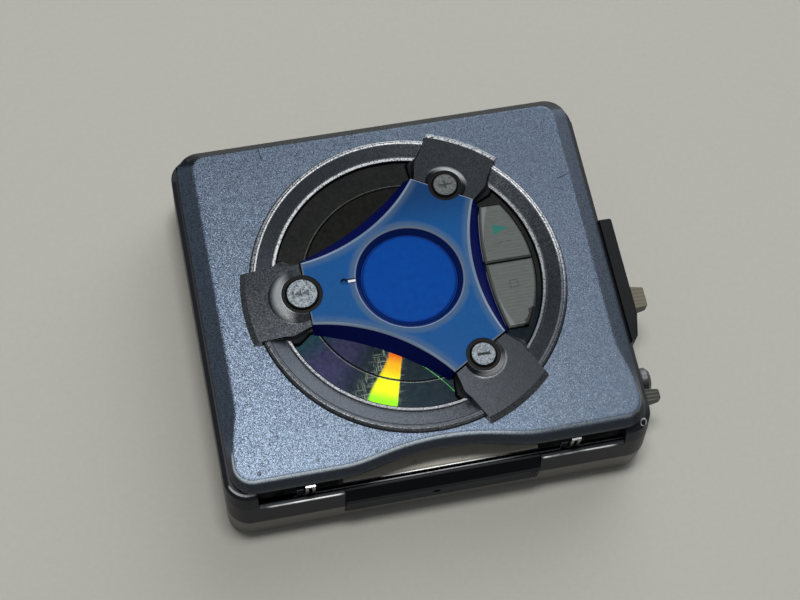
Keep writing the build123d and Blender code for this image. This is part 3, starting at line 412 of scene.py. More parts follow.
front_edge = lid_paint.times(lid_paint.ramp(lid_paint.facing(0, 0, 1), 0.995, 0.97),
                             lid_paint.ramp(lid_paint.along("Y"), -28.0, -30.0))
right_fade = lid_paint.inverse(lid_paint.times(lid_paint.ramp(lid_paint.along("X"), 8.0, 22.0), 0.6))
# painted highlight on the upper front bevel, fading to the right
rub_and_highlight = lid_paint.times(front_edge, lid_paint.ramp(lid_paint.along("Z"), 20.36, 20.78), right_fade)
# painted shade on the lower front bevel
bevel_shade = lid_paint.times(front_edge, lid_paint.ramp(lid_paint.along("Z"), 20.45, 20.15))
coat = lid_paint.blend(lid_paint.times(bevel_shade, 0.85), coat, (0.050, 0.057, 0.070))
coat = lid_paint.blend(lid_paint.times(rub_and_highlight, 0.95), coat,
                       lid_paint.blend(shade, (0.40, 0.50, 0.64), (0.92, 1.0, 1.0)))
# painted shade: the rear and right bevels are near black
rear_bevel_shade = lid_paint.either(lid_paint.ramp(lid_paint.facing(0, 1, 0), 0.12, 0.30),
                        lid_paint.times(lid_paint.ramp(lid_paint.facing(1, 0, 0), 0.12, 0.30), 0.5))
coat = lid_paint.blend(lid_paint.times(rear_bevel_shade, 0.95), coat, (0.008, 0.011, 0.015))
lid_paint.metal(lid_paint.times(lid_paint.inverse(lid_paint.times(rub_and_highlight, 0.8)), 0.7))
lid_paint.paint(coat)
lid_paint.soften(0.9)
lid_paint.glitter(flake, 0.10)
lid_paint.relief(lid_paint.inverse(lid_paint.either(bare, dents)), 0.03)
dress(lid_paint, "lid_cover")
print("lid paint has", len(lid_paint.tree.nodes), "nodes")

# %% [markdown]
# ## The window's ring
# One moulding makes the round rim and its three lobes. Its paint is a darker grey with the same sort of
# flakes. The two raised rims, the outer edges of the lobes and their steep walls get painted highlights,
# speckled by the flakes and stronger at the back and left. Each button stands in a shallow collar with a
# painted highlight on its outer side. The front of the dish gets painted light, the rear lobe painted
# shade, and the well inside the inner rim is painted near black as shade.

# %% Ring and lobes
ring_paint = Finish("ring_paint", roughness=0.36, metallic=0.85)
flake = ring_paint.flakes(0.19)
shade = ring_paint.along("X", flake)
grey = ring_paint.blend(shade, (0.038, 0.044, 0.054), (0.074, 0.082, 0.096))
radius = ring_paint.from_axis(*HUB)
height = ring_paint.along("Z")
low = ring_paint.ramp(height, 22.06, 21.99)
# painted highlights on the raised rims and the back of the dish edge, stronger at the left and back
outer_rim = ring_paint.times(ring_paint.band(radius, 31.05, 31.45, 0.14), low)
dish_edge = ring_paint.times(ring_paint.band(radius, 30.55, 30.75, 0.10), low,
                             ring_paint.ramp(ring_paint.along("Y"), -4.0, 4.0))
left_more = ring_paint.inverse(ring_paint.times(ring_paint.ramp(ring_paint.along("X"), 8.0, 18.0), 0.55))
inner_rim = ring_paint.times(ring_paint.band(radius, 26.85, 27.4, 0.14),
                             ring_paint.ramp(height, 21.8, 21.7), left_more)
rim_highlights = ring_paint.either(outer_rim, dish_edge, inner_rim)
rear_more = ring_paint.times(ring_paint.ramp(ring_paint.along("Y"), -14.0, 2.0), 0.72)
rim_highlights = ring_paint.times(rim_highlights, ring_paint.maths("ADD", 0.28, rear_more))
# painted highlight on the outer side of each button's collar
collars = []
for x, y, inner, outer, fade in ((*TRACK_BACK, 4.2, 5.0, 1.6), (*VOLUME_UP, 3.4, 4.0, 0.9),
                                 (*VOLUME_DOWN, 3.4, 4.0, 0.9)):
    outward = Vector((x - HUB[0], y - HUB[1], 0)).normalized()
    away = ring_paint.vector("SUBTRACT", ring_paint.place, (x, y, 0.0))
    reach = ring_paint.vector("DOT_PRODUCT", away, tuple(outward))
    collars.append(ring_paint.times(ring_paint.band(ring_paint.from_axis(x, y), inner, outer, fade),
                                    ring_paint.ramp(reach, 1.5, 4.2)))
collar_highlight = ring_paint.either(*collars)
far = ring_paint.ramp(ring_paint.along("Y"), 12.0, 16.0)
# painted highlights on the lobes' back edges, steep walls and outer rims
lobe_edge_highlight = ring_paint.times(ring_paint.ramp(radius, 32.0, 32.2), far)
steep = ring_paint.ramp(ring_paint.facing(0, 0, 1), 0.8, 0.6)
painted_wall_shading = ring_paint.times(ring_paint.ramp(radius, 31.9, 32.2), steep)
rim_line = ring_paint.times(ring_paint.ramp(radius, 32.4, 32.9), ring_paint.inverse(low))
lobe_edge_highlight = ring_paint.either(lobe_edge_highlight, ring_paint.times(painted_wall_shading, 0.85), ring_paint.times(rim_line, 0.6))
speckled_highlight = ring_paint.times(ring_paint.either(rim_highlights, lobe_edge_highlight), ring_paint.ramp(shade, 0.0, 0.5))
wear_and_sheen = ring_paint.either(speckled_highlight, ring_paint.times(collar_highlight, 0.9))
specks = ring_paint.times(lobe_edge_highlight, far, ring_paint.ramp(ring_paint.grain(0.35, 3.0), 0.58, 0.62))
grey = ring_paint.blend(ring_paint.times(ring_paint.inverse(low), 0.50), grey, (0.0, 0.0, 0.0))
# painted light on the front of the dish
front_dish_light = ring_paint.times(ring_paint.ramp(ring_paint.along("Y"), -8.0, -18.0), low)
grey = ring_paint.blend(ring_paint.times(front_dish_light, 0.15), grey, (0.135, 0.142, 0.160))
# painted shade on the rear lobe
grey = ring_paint.blend(ring_paint.times(far, ring_paint.inverse(low), 0.35), grey, (0.0, 0.0, 0.0))
grey = ring_paint.blend(wear_and_sheen, grey, (0.52, 0.54, 0.56))
# painted shade in the well inside the inner rim
well_shade = ring_paint.times(ring_paint.ramp(radius, 26.85, 26.72), ring_paint.ramp(height, 21.5, 21.35))
grey = ring_paint.blend(well_shade, grey, (0.003, 0.003, 0.004))
ring_paint.paint(ring_paint.blend(specks, grey, (0.006, 0.006, 0.008)))
ring_paint.metal(ring_paint.maths("SUBTRACT", 0.85, ring_paint.times(wear_and_sheen, 0.45)))
ring_paint.soften(0.12)
ring_paint.glitter(flake, 0.05)
dish = ring_paint.maths("MULTIPLY", ring_paint.maths("SUBTRACT", radius, 27.6), 0.35)
ring_paint.relief(ring_paint.times(dish, ring_paint.band(radius, 27.7, 30.3, 0.1), low), 0.6)
dress(ring_paint, "window_bezel")
print("ring paint has", len(ring_paint.tree.nodes), "nodes")

# %% [markdown]
# ## The window that looks like a disc
# Under the spoke cover lies a plate pressed with fine circular grooves, as a disc has. It mirrors the
# room darkly, with a step line four fifths of the way out. The grooves split white light, and those
# coloured reflections are painted in: teal and blue tints and pale streaks in the front windows, a thin
# green line along the front arc, and one narrow wedge in the front window painted from orange at the
# inside to yellow green at the rim. Real grooves are far too fine to model, so the split light is a
# painted colour that changes with the distance from the hub, inside the wedge's own angles.

# %% Disc window
disc_mirror = Finish("disc_mirror", roughness=0.2, metallic=0.9, shine=0.2)
radius = disc_mirror.from_axis(*HUB)
angle = disc_mirror.heading(*HUB)
rings = disc_mirror.grain(0.9, 3.0)
dark = disc_mirror.blend(disc_mirror.grain(5.0), (0.013, 0.014, 0.014), (0.022, 0.021, 0.019))
dark = disc_mirror.blend(disc_mirror.ramp(radius, 20.4, 21.6), dark, disc_mirror.blend(
    disc_mirror.grain(4.0), (0.020, 0.022, 0.024), (0.030, 0.030, 0.027)))
# painted reflections: teal and blue tints in the front windows
front = disc_mirror.ramp(disc_mirror.along("Y"), -4.0, -8.0)
teal = disc_mirror.blend(disc_mirror.grain(3.5, 3.0), (0.005, 0.010, 0.016), (0.014, 0.022, 0.027))
blue = disc_mirror.blend(disc_mirror.ramp(angle, -158.0, -146.0),
                         (0.011, 0.040, 0.056), (0.028, 0.025, 0.070))
blue = disc_mirror.blend(disc_mirror.times(disc_mirror.grain(1.6, 3.0), 0.5), blue, (0.020, 0.028, 0.034))
reflection_tint = disc_mirror.blend(disc_mirror.ramp(angle, -124.0, -142.0), teal, blue)
dark = disc_mirror.blend(front, dark, reflection_tint)
# painted reflection: pale streaks beside the rainbow wedge
threads = disc_mirror.either(disc_mirror.grain(0.30, 3.0, (1.0, 0.12, 1.0)),
                             disc_mirror.grain(0.34, 3.0, (0.12, 1.0, 1.0)))
streak_reflection = disc_mirror.times(disc_mirror.band(angle, -120.0, -110.0, 8.0),
                            disc_mirror.ramp(threads, 0.50, 0.72), front)
dark = disc_mirror.blend(disc_mirror.times(streak_reflection, 0.55), dark, (0.26, 0.30, 0.22))
# painted reflection: the lamp's light split into a rainbow wedge
rainbow_reflection = disc_mirror.blend(disc_mirror.ramp(radius, 15.2, 18.6), (1.0, 0.10, 0.0), (1.0, 0.56, 0.0))
rainbow_reflection = disc_mirror.blend(disc_mirror.ramp(radius, 18.6, 21.6), rainbow_reflection, (0.95, 1.0, 0.0))
rainbow_reflection = disc_mirror.blend(disc_mirror.ramp(radius, 23.6, 25.8), rainbow_reflection, (0.33, 1.0, 0.0))
spread = disc_mirror.times(disc_mirror.ramp(radius, 16.0, 25.0), 3.4)
left_side = disc_mirror.maths("SUBTRACT", -115.2, spread)
past_left = disc_mirror.maths("SUBTRACT", angle, left_side)
wedge = disc_mirror.times(disc_mirror.ramp(past_left, -1.4, 1.0), disc_mirror.ramp(angle, -106.2, -107.0),
                          disc_mirror.ramp(radius, 15.4, 15.9))
step = disc_mirror.band(radius, 20.9, 21.15, 0.10)
edge = disc_mirror.band(radius, 21.3, 21.4, 0.08)
look = disc_mirror.blend(wedge, dark, rainbow_reflection)
look = disc_mirror.blend(step, look, (0.002, 0.002, 0.003))
look = disc_mirror.blend(disc_mirror.times(edge, 0.22), look, (0.45, 0.48, 0.44))
# painted reflection: a thin green line along the front arc
green_reflection = disc_mirror.times(disc_mirror.band(disc_mirror.from_axis(*FRONT_ARC), 33.15, 33.22, 0.06),
                           disc_mirror.ramp(angle, -104.0, -100.0), front)
look = disc_mirror.blend(disc_mirror.times(green_reflection, 0.6), look, (0.10, 0.46, 0.12))
disc_mirror.paint(look)
disc_mirror.metal(disc_mirror.maths("SUBTRACT", 0.9, disc_mirror.times(wedge, 0.8)))
disc_mirror.gloss(disc_mirror.maths("ADD", 0.16, disc_mirror.times(rings, 0.12)))
circles = disc_mirror.maths("SINE", disc_mirror.maths("MULTIPLY", radius, 22.0))
disc_mirror.relief(disc_mirror.either(circles, disc_mirror.inverse(step)), 0.004)
dress(disc_mirror, "disc_window")
print("disc window has", len(disc_mirror.tree.nodes), "nodes")

# %% [markdown]
# ## The spoke cover and its badge
# The three-armed cover is translucent blue plastic, painted on the inside: its top is clear blue, and its
# steep walls are painted navy as shade. The rear arm is painted darker as shade, and thin bright lines
# along the top edges are painted highlights. Thumbs have rubbed the edges of the top to grey, along the
# hollow sides and round the badge. The hollow sides are arcs, so their distance comes from three far
# centres. The badge sits in a dished seat whose wall is painted dark as shade, and is glossier and
# bluer, with painted shade round its rim. It carries nothing here.

# %% Spoke cover and badge
spoke_blue = Finish("spoke_blue", roughness=0.36, shine=0.10)
radius = spoke_blue.from_axis(*HUB)
height = spoke_blue.along("Z")
up = spoke_blue.ramp(spoke_blue.facing(0, 0, 1), 0.80, 0.94)
top_blue = spoke_blue.blend(spoke_blue.grain(0.55, 3.0), tone(6, 70, 132), tone(20, 88, 154))
clouds = spoke_blue.times(spoke_blue.grain(3.0, 4.0), 0.35)
top_blue = spoke_blue.blend(clouds, top_blue, tone(42, 84, 124))
# painted shade: the rear arm is darker
rear_shade = spoke_blue.times(spoke_blue.ramp(spoke_blue.along("Y"), 7.0, 20.0), 0.75)
top_blue = spoke_blue.blend(rear_shade, top_blue, tone(12, 44, 84))
hollow_sides = spoke_blue.either(*(
    spoke_blue.ramp(spoke_blue.from_axis(*centre), 37.4, 35.6)
    for centre in (RIGHT_ARC, REAR_ARC, FRONT_ARC)
))
round_badge = spoke_blue.band(radius, 10.9, 11.3, 1.2)
scuffed = spoke_blue.times(spoke_blue.either(hollow_sides, round_badge), up,
                           spoke_blue.ramp(spoke_blue.grain(1.8, 4.0), 0.12, 0.50))
top_blue = spoke_blue.blend(spoke_blue.times(scuffed, 0.52), top_blue, tone(88, 106, 120))
# painted shade: the steep walls are navy
painted_wall_shading = spoke_blue.blend(spoke_blue.grain(0.8), tone(2, 8, 60), tone(3, 14, 78))
# painted highlight: thin bright lines along the top edges
edge_light = spoke_blue.times(spoke_blue.band(height, 23.22, 23.5, 0.06),
                              spoke_blue.ramp(spoke_blue.facing(0, 0, 1), 0.96, 0.90))
plastic = spoke_blue.blend(up, painted_wall_shading, top_blue)
# painted shade on the wall of the badge's dished seat
seat_shade = spoke_blue.times(spoke_blue.ramp(radius, 11.2, 10.9), spoke_blue.inverse(up))
plastic = spoke_blue.blend(seat_shade, plastic, tone(4, 26, 84))
spoke_blue.paint(spoke_blue.blend(spoke_blue.times(edge_light, 0.65), plastic, tone(150, 166, 186)))
spoke_blue.gloss(spoke_blue.maths("ADD", 0.24, spoke_blue.times(scuffed, 0.25)))
spoke_blue.soften(0.12)
spoke_blue.relief(spoke_blue.grain(0.4, 3.0), 0.006)
dress(spoke_blue, "spoke_cover")

badge_blue = Finish("badge_blue", roughness=0.16, coat=0.05, shine=0.15)
mottle = badge_blue.grain(1.4, 3.0)
disc_blue = badge_blue.blend(mottle, tone(0, 58, 138), tone(2, 75, 162))
# painted shade round the badge's rim
rim_shade = badge_blue.ramp(badge_blue.from_axis(*HUB), 8.8, 9.4)
badge_blue.paint(badge_blue.blend(badge_blue.times(rim_shade, 0.8), disc_blue, tone(2, 26, 110)))
dress(badge_blue, "centre_badge")

lamp_white = Finish("lamp_white", roughness=0.3, coat=0.3)
lamp_white.paint(lamp_white.blend(lamp_white.grain(0.4), tone(206, 214, 220), tone(232, 238, 240)))
dress(lamp_white, "indicator_lens")
print("spoke blue has", len(spoke_blue.tree.nodes), "nodes")

# %% [markdown]
# ## Buttons and their signs
# Three round caps stand in glossy black rings. Their silver paint has coarse bright flakes, and dirt
# sits in the pressed signs: a minus, a plus, and two arrowheads with a bar for the previous track. The
# signs are sunk with relief, so they catch shadow as pressed ones do. The caps' side walls are painted
# near black as shade, their outer rims are a little darker, and the rear cap's silver is darker and greyer.

# %% Round buttons
button_silver = Finish("button_silver", roughness=0.42, metallic=0.35, shine=0.25)
flake = button_silver.flakes(0.26)
shade = button_silver.along("X", flake)
silver = button_silver.blend(shade, tone(82, 90, 98), tone(172, 182, 190))
# the rear cap's silver is darker and greyer
toward_rear = button_silver.ramp(button_silver.along("Y"), 12.0, 14.0)
rear_silver = button_silver.blend(shade, tone(72, 75, 77), tone(120, 123, 124))
silver = button_silver.blend(toward_rear, silver, rear_silver)
minus = button_silver.bar(11.25, -18.46, 2.5, 0.46)
plus = button_silver.either(button_silver.bar(11.52, 18.80, 2.5, 0.30),
                            button_silver.bar(11.52, 18.80, 0.30, 1.9))
skip = button_silver.either(button_silver.bar(-22.95, 0.3, 0.26, 1.3),
                            button_silver.arrowhead(-22.75, 0.3, -1.45, 0.72),
                            button_silver.arrowhead(-21.25, 0.3, -1.45, 0.72))
sign = button_silver.either(minus, button_silver.times(plus, 0.75), button_silver.times(skip, 0.7))
edge = button_silver.either(*(
    button_silver.ramp(button_silver.from_axis(x, y), cap - 0.35, cap - 0.05)
    for x, y, cap in ((*TRACK_BACK, TRACK_CAP), (*VOLUME_UP, VOLUME_CAP), (*VOLUME_DOWN, VOLUME_CAP))
))
# painted shade: the caps' side walls are near black, and their outer rim is a little darker
side_wall = button_silver.ramp(button_silver.facing(0, 0, 1), 0.85, 0.72)
sides_and_rim_dark = button_silver.either(side_wall, button_silver.times(edge, 0.3))
silver = button_silver.blend(sides_and_rim_dark, silver, tone(9, 9, 11))
button_silver.paint(button_silver.blend(sign, silver, tone(26, 30, 30)))
button_silver.metal(button_silver.times(button_silver.inverse(side_wall), 0.35))
button_silver.glitter(flake, 0.07)
button_silver.relief(button_silver.inverse(sign), 0.04)
dress(button_silver, "track_back_button", "volume_up_button", "volume_down_button")

ring_black = Finish("ring_black", roughness=0.3, shine=0.12)
ring_black.paint(ring_black.blend(ring_black.grain(0.7), (0.002, 0.002, 0.003), (0.005, 0.005, 0.006)))
ring_black.soften(0.08)
dress(ring_black, "button_rings")
print("round buttons dressed")

# %% [markdown]
# ## The two keys
# Play and stop share the right window. They are beige with hair-fine lines across, and thumbs have
# worn the stop key's outer corner to black. The play sign is a teal arrowhead with two short faint
# strokes under it, and the stop sign is the faint outline of a small square.

# %% Play and stop keys
key_beige = Finish("key_beige", roughness=0.45, metallic=0.15, shine=0.3)
across = key_beige.along("Y")
lines = key_beige.maths("SINE", key_beige.maths("MULTIPLY", across, 9.0))
beige = key_beige.blend(key_beige.grain(0.5, 3.0, (0.25, 1.0, 1.0)), tone(67, 72, 71), tone(90, 95, 92))
beige = key_beige.blend(key_beige.times(key_beige.ramp(lines, 0.3, 1.0), 0.25), beige, tone(66, 68, 66))
# painted highlight along the keys' inner edge
inner_edge_highlight = key_beige.ramp(key_beige.from_axis(*RIGHT_ARC), 32.1, 32.4)
beige = key_beige.blend(key_beige.times(inner_edge_highlight, 0.35), beige, tone(136, 142, 144))
play = key_beige.arrowhead(22.5, 8.2, 3.2, 1.18)
stop = key_beige.maths("SUBTRACT", key_beige.bar(20.9, -4.1, 1.7, 1.7),
                       key_beige.bar(20.9, -4.1, 1.25, 1.25))
faint = key_beige.either(key_beige.ramp(stop, 0.0, 0.5), key_beige.bar(20.3, 5.2, 0.9, 0.16, 12.0),
                         key_beige.bar(22.0, 5.3, 1.0, 0.16, -8.0))
beige = key_beige.blend(key_beige.times(faint, 0.55), beige, tone(40, 42, 42))
beige = key_beige.blend(play, beige, tone(0, 98, 88))
radius = key_beige.from_axis(*HUB)
rub_and_highlight = key_beige.times(key_beige.ramp(radius, 23.6, 25.2), key_beige.ramp(across, -8.2, -10.6))
beige = key_beige.blend(key_beige.chips(rub_and_highlight, 0.8, 0.6), beige, tone(14, 13, 12))
rim_tan = key_beige.times(key_beige.ramp(radius, 24.8, 25.8), 0.35)
key_beige.paint(key_beige.blend(rim_tan, beige, tone(70, 62, 48)))
key_beige.soften(0.12)
key_beige.relief(key_beige.ramp(lines, -1.0, 1.0), 0.012)
dress(key_beige, "play_key", "stop_key")

key_floor = Finish("key_floor", roughness=0.6)
key_floor.paint(key_floor.blend(key_floor.grain(0.6), (0.004, 0.004, 0.005), (0.009, 0.010, 0.011)))
dress(key_floor, "key_board")
domes = Finish("switch_domes", roughness=0.3, metallic=1.0)
domes.paint(domes.blend(domes.grain(0.5), tone(128, 128, 124), tone(168, 168, 162)))
dress(domes, "key_switches")
print("keys dressed, with", len(key_beige.tree.nodes), "nodes")

# %% [markdown]
# ## The case
# The case is moulded in two greys: a dark middle frame round the slot, and a lighter, warmer shell
# below it. Both have the fine spark of a soft-touch paint. The top of the low wall under the slot gets a
# painted highlight, left and right of the front panel, and the frame's rim is rubbed bright at its front
# corners. Seams between the mouldings are real gaps in the solids, so none are drawn.

# %% Middle frame
frame_dark = Finish("frame_dark", roughness=0.42, metallic=0.1, shine=0.25)
fine = frame_dark.grain(0.28, 3.0)
dark = frame_dark.blend(fine, tone(18, 22, 28), tone(33, 38, 45))
height = frame_dark.along("Z")
front = frame_dark.band(frame_dark.along("Y"), -38.28, -38.02, 0.07)
off_middle = frame_dark.maths("ABSOLUTE", frame_dark.along("X"))
beside_panel = frame_dark.times(frame_dark.ramp(off_middle, 19.6, 20.4),
                                frame_dark.ramp(off_middle, 35.4, 33.6))
# painted highlight along the top of the low wall, left and right of the panel
lip_highlight = frame_dark.times(frame_dark.band(height, 13.02, 13.4, 0.08), front, beside_panel)
lip_highlight = frame_dark.times(lip_highlight, frame_dark.ramp(frame_dark.grain(2.2, 3.0, (0.3, 1.0, 1.0)), 0.28, 0.5))
dark = frame_dark.blend(frame_dark.times(lip_highlight, 0.9), dark, (0.50, 0.51, 0.52))
left_corner, right_corner = (-39.6, -36.0, 17.4), (40.35, -35.75, 17.3)
crescent = frame_dark.times(frame_dark.band(height, 17.30, 17.52, 0.07),
                            frame_dark.ramp(frame_dark.from_point(*left_corner), 3.2, 2.4))
ragged = frame_dark.maths("MULTIPLY", frame_dark.maths("SUBTRACT", frame_dark.grain(0.9, 3.0), 0.5), 1.1)
from_chip = frame_dark.maths("ADD", frame_dark.from_point(*right_corner), ragged)
chip_edge = frame_dark.times(frame_dark.band(from_chip, 0.62, 0.74, 0.12),
                             frame_dark.ramp(height, 16.4, 16.8),
                             frame_dark.ramp(frame_dark.grain(0.45, 3.0), 0.36, 0.56))
wear_and_sheen = frame_dark.times(frame_dark.either(crescent, chip_edge),
                        frame_dark.ramp(frame_dark.grain(0.7, 3.0), 0.22, 0.46))
dark = frame_dark.blend(frame_dark.ramp(from_chip, 0.55, 0.45), dark, (0.006, 0.006, 0.008))
frame_dark.paint(frame_dark.blend(wear_and_sheen, dark, (0.52, 0.54, 0.56)))
frame_dark.metal(frame_dark.maths("ADD", 0.10, frame_dark.times(lip_highlight, 0.5)))
frame_dark.soften(0.30)
frame_dark.relief(fine, 0.010)
dress(frame_dark, "mid_frame", "side_panel")
print("frame paint has", len(frame_dark.tree.nodes), "nodes")

# %% [markdown]
# The panel in front of the slot is moulded darker. Its top, under the lid, is painted darker still as
# shade, with a faint painted highlight along its upper edge. The control block on the right is rougher,
# with pits that swallow the light. The shell below is warm grey, scuffed on its underside by tables, and
# the sill in the slot is ivory with faint stains of age.

# %% Panel, control block, lower shell and sill
panel_black = Finish("panel_black", roughness=0.45, shine=0.10)
fine = panel_black.grain(0.3, 3.0)
black = panel_black.blend(fine, tone(17, 21, 28), tone(34, 40, 49))
# painted shade on the panel's upward faces, under the lid
top_in_shade = panel_black.ramp(panel_black.facing(0, 0, 1), 0.3, 0.5)
black = panel_black.blend(top_in_shade, black, (0.0015, 0.0025, 0.004))
# a faint painted highlight along the panel's upper edge
crest_highlight = panel_black.times(panel_black.ramp(panel_black.along("Y"), -37.72, -37.56),
                          panel_black.ramp(panel_black.along("Z"), 12.8, 13.0),
                          panel_black.ramp(panel_black.grain(2.6, 3.0, (0.3, 1.0, 1.0)), 0.26, 0.46))
panel_black.paint(panel_black.blend(panel_black.times(crest_highlight, 0.10), black, (0.44, 0.45, 0.46)))
panel_black.soften(0.2)
panel_black.relief(fine, 0.014)
dress(panel_black, "front_panel")

block_black = Finish("block_black", roughness=0.5, shine=0.1)
pitted = block_black.grain(0.35, 4.0)
block_black.paint(block_black.blend(pitted, tone(8, 9, 11), tone(30, 31, 34)))
block_black.soften(0.2)
block_black.relief(pitted, 0.03)
dress(block_black, "side_control_block")

shell_grey = Finish("shell_grey", roughness=0.42, metallic=0.3)
fine = shell_grey.grain(0.28, 3.0)
warm = shell_grey.blend(fine, tone(88, 87, 85), tone(116, 114, 111))
warm = shell_grey.blend(shell_grey.times(shell_grey.grain(6.0, 3.0), 0.3), warm, tone(100, 96, 88))
rub_and_highlight = shell_grey.times(shell_grey.ramp(shell_grey.facing(0, 0, 1), -0.86, -0.98),
                          shell_grey.ramp(shell_grey.grain(1.0, 4.0, (1.0, 0.2, 1.0)), 0.55, 0.62))
shell_grey.paint(shell_grey.blend(shell_grey.times(rub_and_highlight, 0.35), warm, tone(70, 70, 68)))
shell_grey.soften(0.30)
shell_grey.relief(fine, 0.010)
dress(shell_grey, "lower_case", "battery_door")

sill_ivory = Finish("sill_ivory", roughness=0.5)
ivory = sill_ivory.blend(sill_ivory.grain(1.6, 3.0), tone(186, 182, 170), tone(204, 200, 188))
stain = sill_ivory.ramp(sill_ivory.grain(2.4, 4.0), 0.60, 0.72)
sill_ivory.paint(sill_ivory.blend(sill_ivory.times(stain, 0.4), ivory, tone(140, 134, 118)))
dress(sill_ivory, "slot_sill")
print("case dressed")

# %% [markdown]
# ## The two sliders on the right
# The hold slider's knob is beige, and the open slider's knob is dark khaki. Both move along the side,
# so fine ribs run across their travel, where a fingertip grips.

# %% Slider knobs
knob_beige = Finish("knob_beige", roughness=0.5)
ribs = knob_beige.maths("SINE", knob_beige.maths("MULTIPLY", knob_beige.along("Y"), 8.0))
tan = knob_beige.blend(knob_beige.grain(0.5, 3.0), tone(84, 79, 62), tone(104, 98, 79))
crests = knob_beige.times(knob_beige.ramp(ribs, 0.0, 1.0), 0.3)
knob_beige.paint(knob_beige.blend(crests, tan, tone(66, 62, 50)))
knob_beige.soften(0.15)
knob_beige.relief(ribs, 0.012)
dress(knob_beige, "hold_knob")

knob_khaki = Finish("knob_khaki", roughness=0.5)
ribs = knob_khaki.maths("SINE", knob_khaki.maths("MULTIPLY", knob_khaki.along("Y"), 8.0))
knob_khaki.paint(knob_khaki.blend(knob_khaki.grain(0.5, 3.0), tone(36, 35, 28), tone(52, 50, 40)))
knob_khaki.soften(0.15)
knob_khaki.relief(ribs, 0.03)
dress(knob_khaki, "open_knob", "latch_link")
print("knobs dressed")

# %% [markdown]
# ## Bare metal inside and at the openings
# Metals differ by how they were made. Drawn rods and pins are bright, with fine lines along their
# length. Pressed sheet is zinc plated, with faint large crystals. The latch bar is blackened, with one
# bright line where the loops rub it.

# %% Rods, collar, sheets and latch bar
rod_steel = Finish("rod_steel", roughness=0.22, metallic=1.0)
drawn = rod_steel.grain(0.25, 3.0, (0.08, 1.0, 1.0))
rod_steel.paint(rod_steel.blend(drawn, tone(158, 158, 156), tone(198, 198, 196)))
rod_steel.gloss(rod_steel.maths("ADD", 0.16, rod_steel.times(drawn, 0.16)))
dress(rod_steel, "latch_loops", "hinge_pins", "battery_door_pin", "guide_rods", "lead_screw")

collar_metal = Finish("collar_metal", roughness=0.35, metallic=0.9)
collar_metal.paint(collar_metal.blend(collar_metal.grain(0.5, 3.0),
                                      tone(70, 72, 74), tone(116, 118, 120)))
dress(collar_metal, "jack_collar")

sheet_zinc = Finish("sheet_zinc", roughness=0.35, metallic=1.0)
crystal = sheet_zinc.along("X", sheet_zinc.flakes(2.2))
sheet_zinc.paint(sheet_zinc.blend(crystal, tone(146, 148, 148), tone(176, 177, 174)))
sheet_zinc.gloss(sheet_zinc.maths("ADD", 0.28, sheet_zinc.times(crystal, 0.14)))
sheet_zinc.relief(sheet_zinc.grain(0.8), 0.006)
dress(sheet_zinc, "mech_chassis", "rod_brackets", "hinge_brackets", "cartridge_holder")

bar_steel = Finish("bar_steel", roughness=0.5, shine=0.1)
dull = bar_steel.grain(0.8, 3.0)
blackened = bar_steel.blend(dull, tone(18, 19, 21), tone(38, 40, 43))
rub_line = bar_steel.times(bar_steel.band(bar_steel.along("Y"), -36.62, -36.42, 0.06),
                           bar_steel.ramp(dull, 0.2, 0.45))
bar_steel.paint(bar_steel.blend(rub_line, blackened, tone(196, 200, 206)))
bar_steel.relief(dull, 0.006)
dress(bar_steel, "latch_bar")
print("rods and sheets dressed")

# %% [markdown]
# The drive has four more metals. The pickup's frame is a die casting, dull and a little rough. Motor
# cans are drawn, the turntable is turned on a lathe, which leaves circles round its spindle, and the
# screws are plated dark.

# %% Castings, motors, turntable and screws
casting = Finish("casting", roughness=0.55, metallic=0.8)
casting.paint(casting.blend(casting.grain(0.4, 4.0), tone(104, 104, 102), tone(136, 135, 132)))
casting.relief(casting.grain(0.3, 4.0), 0.02)
dress(casting, "pickup_carriage")

motor_can = Finish("motor_can", roughness=0.3, metallic=1.0)
drawn = motor_can.grain(0.3, 3.0, (1.0, 1.0, 0.08))
motor_can.paint(motor_can.blend(drawn, tone(134, 132, 126), tone(170, 168, 160)))
motor_can.relief(drawn, 0.006)
dress(motor_can, "spindle_motor", "sled_motor")

table_metal = Finish("turntable_metal", roughness=0.3, metallic=0.9)
lathe = table_metal.maths("SINE", table_metal.maths("MULTIPLY", table_metal.from_axis(*SPINDLE), 30.0))
table_metal.paint(table_metal.blend(table_metal.ramp(lathe, -1.0, 1.0),
                                    tone(120, 120, 118), tone(168, 168, 164)))
table_metal.relief(lathe, 0.004)
dress(table_metal, "turntable")

screw_zinc = Finish("screw_zinc", roughness=0.35, metallic=1.0)
screw_zinc.paint(screw_zinc.blend(screw_zinc.grain(0.4), tone(64, 64, 66), tone(96, 96, 98)))
dress(screw_zinc, "case_screws")
print("metals dressed")

# %% [markdown]
# ## Electronics, rubber and glass
# The boards are green with paler copper lanes under the lacquer: thin bands where a stretched noise
# crosses its middle. Chips and sockets are matt black. The lens is coated and looks deep blue.

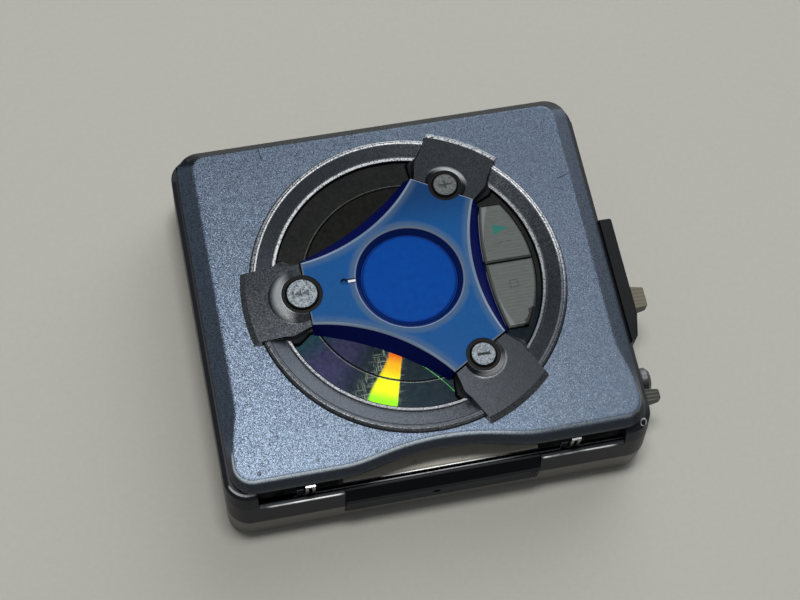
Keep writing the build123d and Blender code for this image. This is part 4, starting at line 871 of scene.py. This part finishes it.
# %% Boards, chips, cell and lens
board_green = Finish("board_green", roughness=0.42, coat=0.2)
lane = board_green.either(*(
    board_green.band(board_green.grain(2.6, 1.0, stretch), 0.49, 0.51, 0.015)
    for stretch in ((1.0, 0.12, 1.0), (0.12, 1.0, 1.0))
))
lacquer = board_green.blend(board_green.grain(3.0), tone(14, 74, 42), tone(22, 92, 54))
board_green.paint(board_green.blend(lane, lacquer, tone(74, 134, 84)))
board_green.relief(lane, 0.02)
dress(board_green, "main_board")

chip_black = Finish("chip_black", roughness=0.55)
chip_black.paint(chip_black.blend(chip_black.grain(0.3), tone(24, 24, 25), tone(40, 40, 42)))
chip_black.relief(chip_black.grain(0.2, 3.0), 0.01)
dress(chip_black, "board_chips", "phones_jack", "dc_jack")

rubber = Finish("rubber", roughness=0.8)
rubber.paint(rubber.blend(rubber.grain(0.6), tone(30, 29, 28), tone(46, 44, 42)))
rubber.relief(rubber.grain(0.3, 3.0), 0.02)
dress(rubber, "chassis_dampers")

cell_wrap = Finish("cell_wrap", roughness=0.35, metallic=0.5)
ends = cell_wrap.ramp(cell_wrap.maths("ABSOLUTE", cell_wrap.along("Y")), 27.0, 27.4)
sleeve = cell_wrap.blend(cell_wrap.grain(1.5), tone(120, 124, 128), tone(140, 144, 148))
cell_wrap.paint(cell_wrap.blend(ends, sleeve, tone(186, 186, 184)))
dress(cell_wrap, "battery_cell")

spring_plate = Finish("spring_plate", roughness=0.28, metallic=1.0)
spring_plate.paint(spring_plate.blend(spring_plate.grain(0.8), tone(176, 158, 112), tone(198, 180, 132)))
dress(spring_plate, "battery_contacts")

lens_blue = Finish("lens_blue", roughness=0.06, coat=1.0)
pupil = lens_blue.ramp(lens_blue.from_axis(*PICKUP_LENS), 1.7, 1.3)
mount = lens_blue.blend(lens_blue.grain(0.4), tone(34, 34, 36), tone(48, 48, 50))
lens_blue.paint(lens_blue.blend(pupil, mount, tone(24, 38, 92)))
dress(lens_blue, "objective_lens")
print("electronics dressed")

# %% [markdown]
# ## Closing the scene
# The last cell counts how many of the CAD nodes have been given a finish.

# %% Count the dressed nodes
dressed = [name for name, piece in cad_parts.items()
           if piece.data.materials and piece.data.materials[0]]
print("dressed nodes:", len(dressed), "of", len(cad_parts))
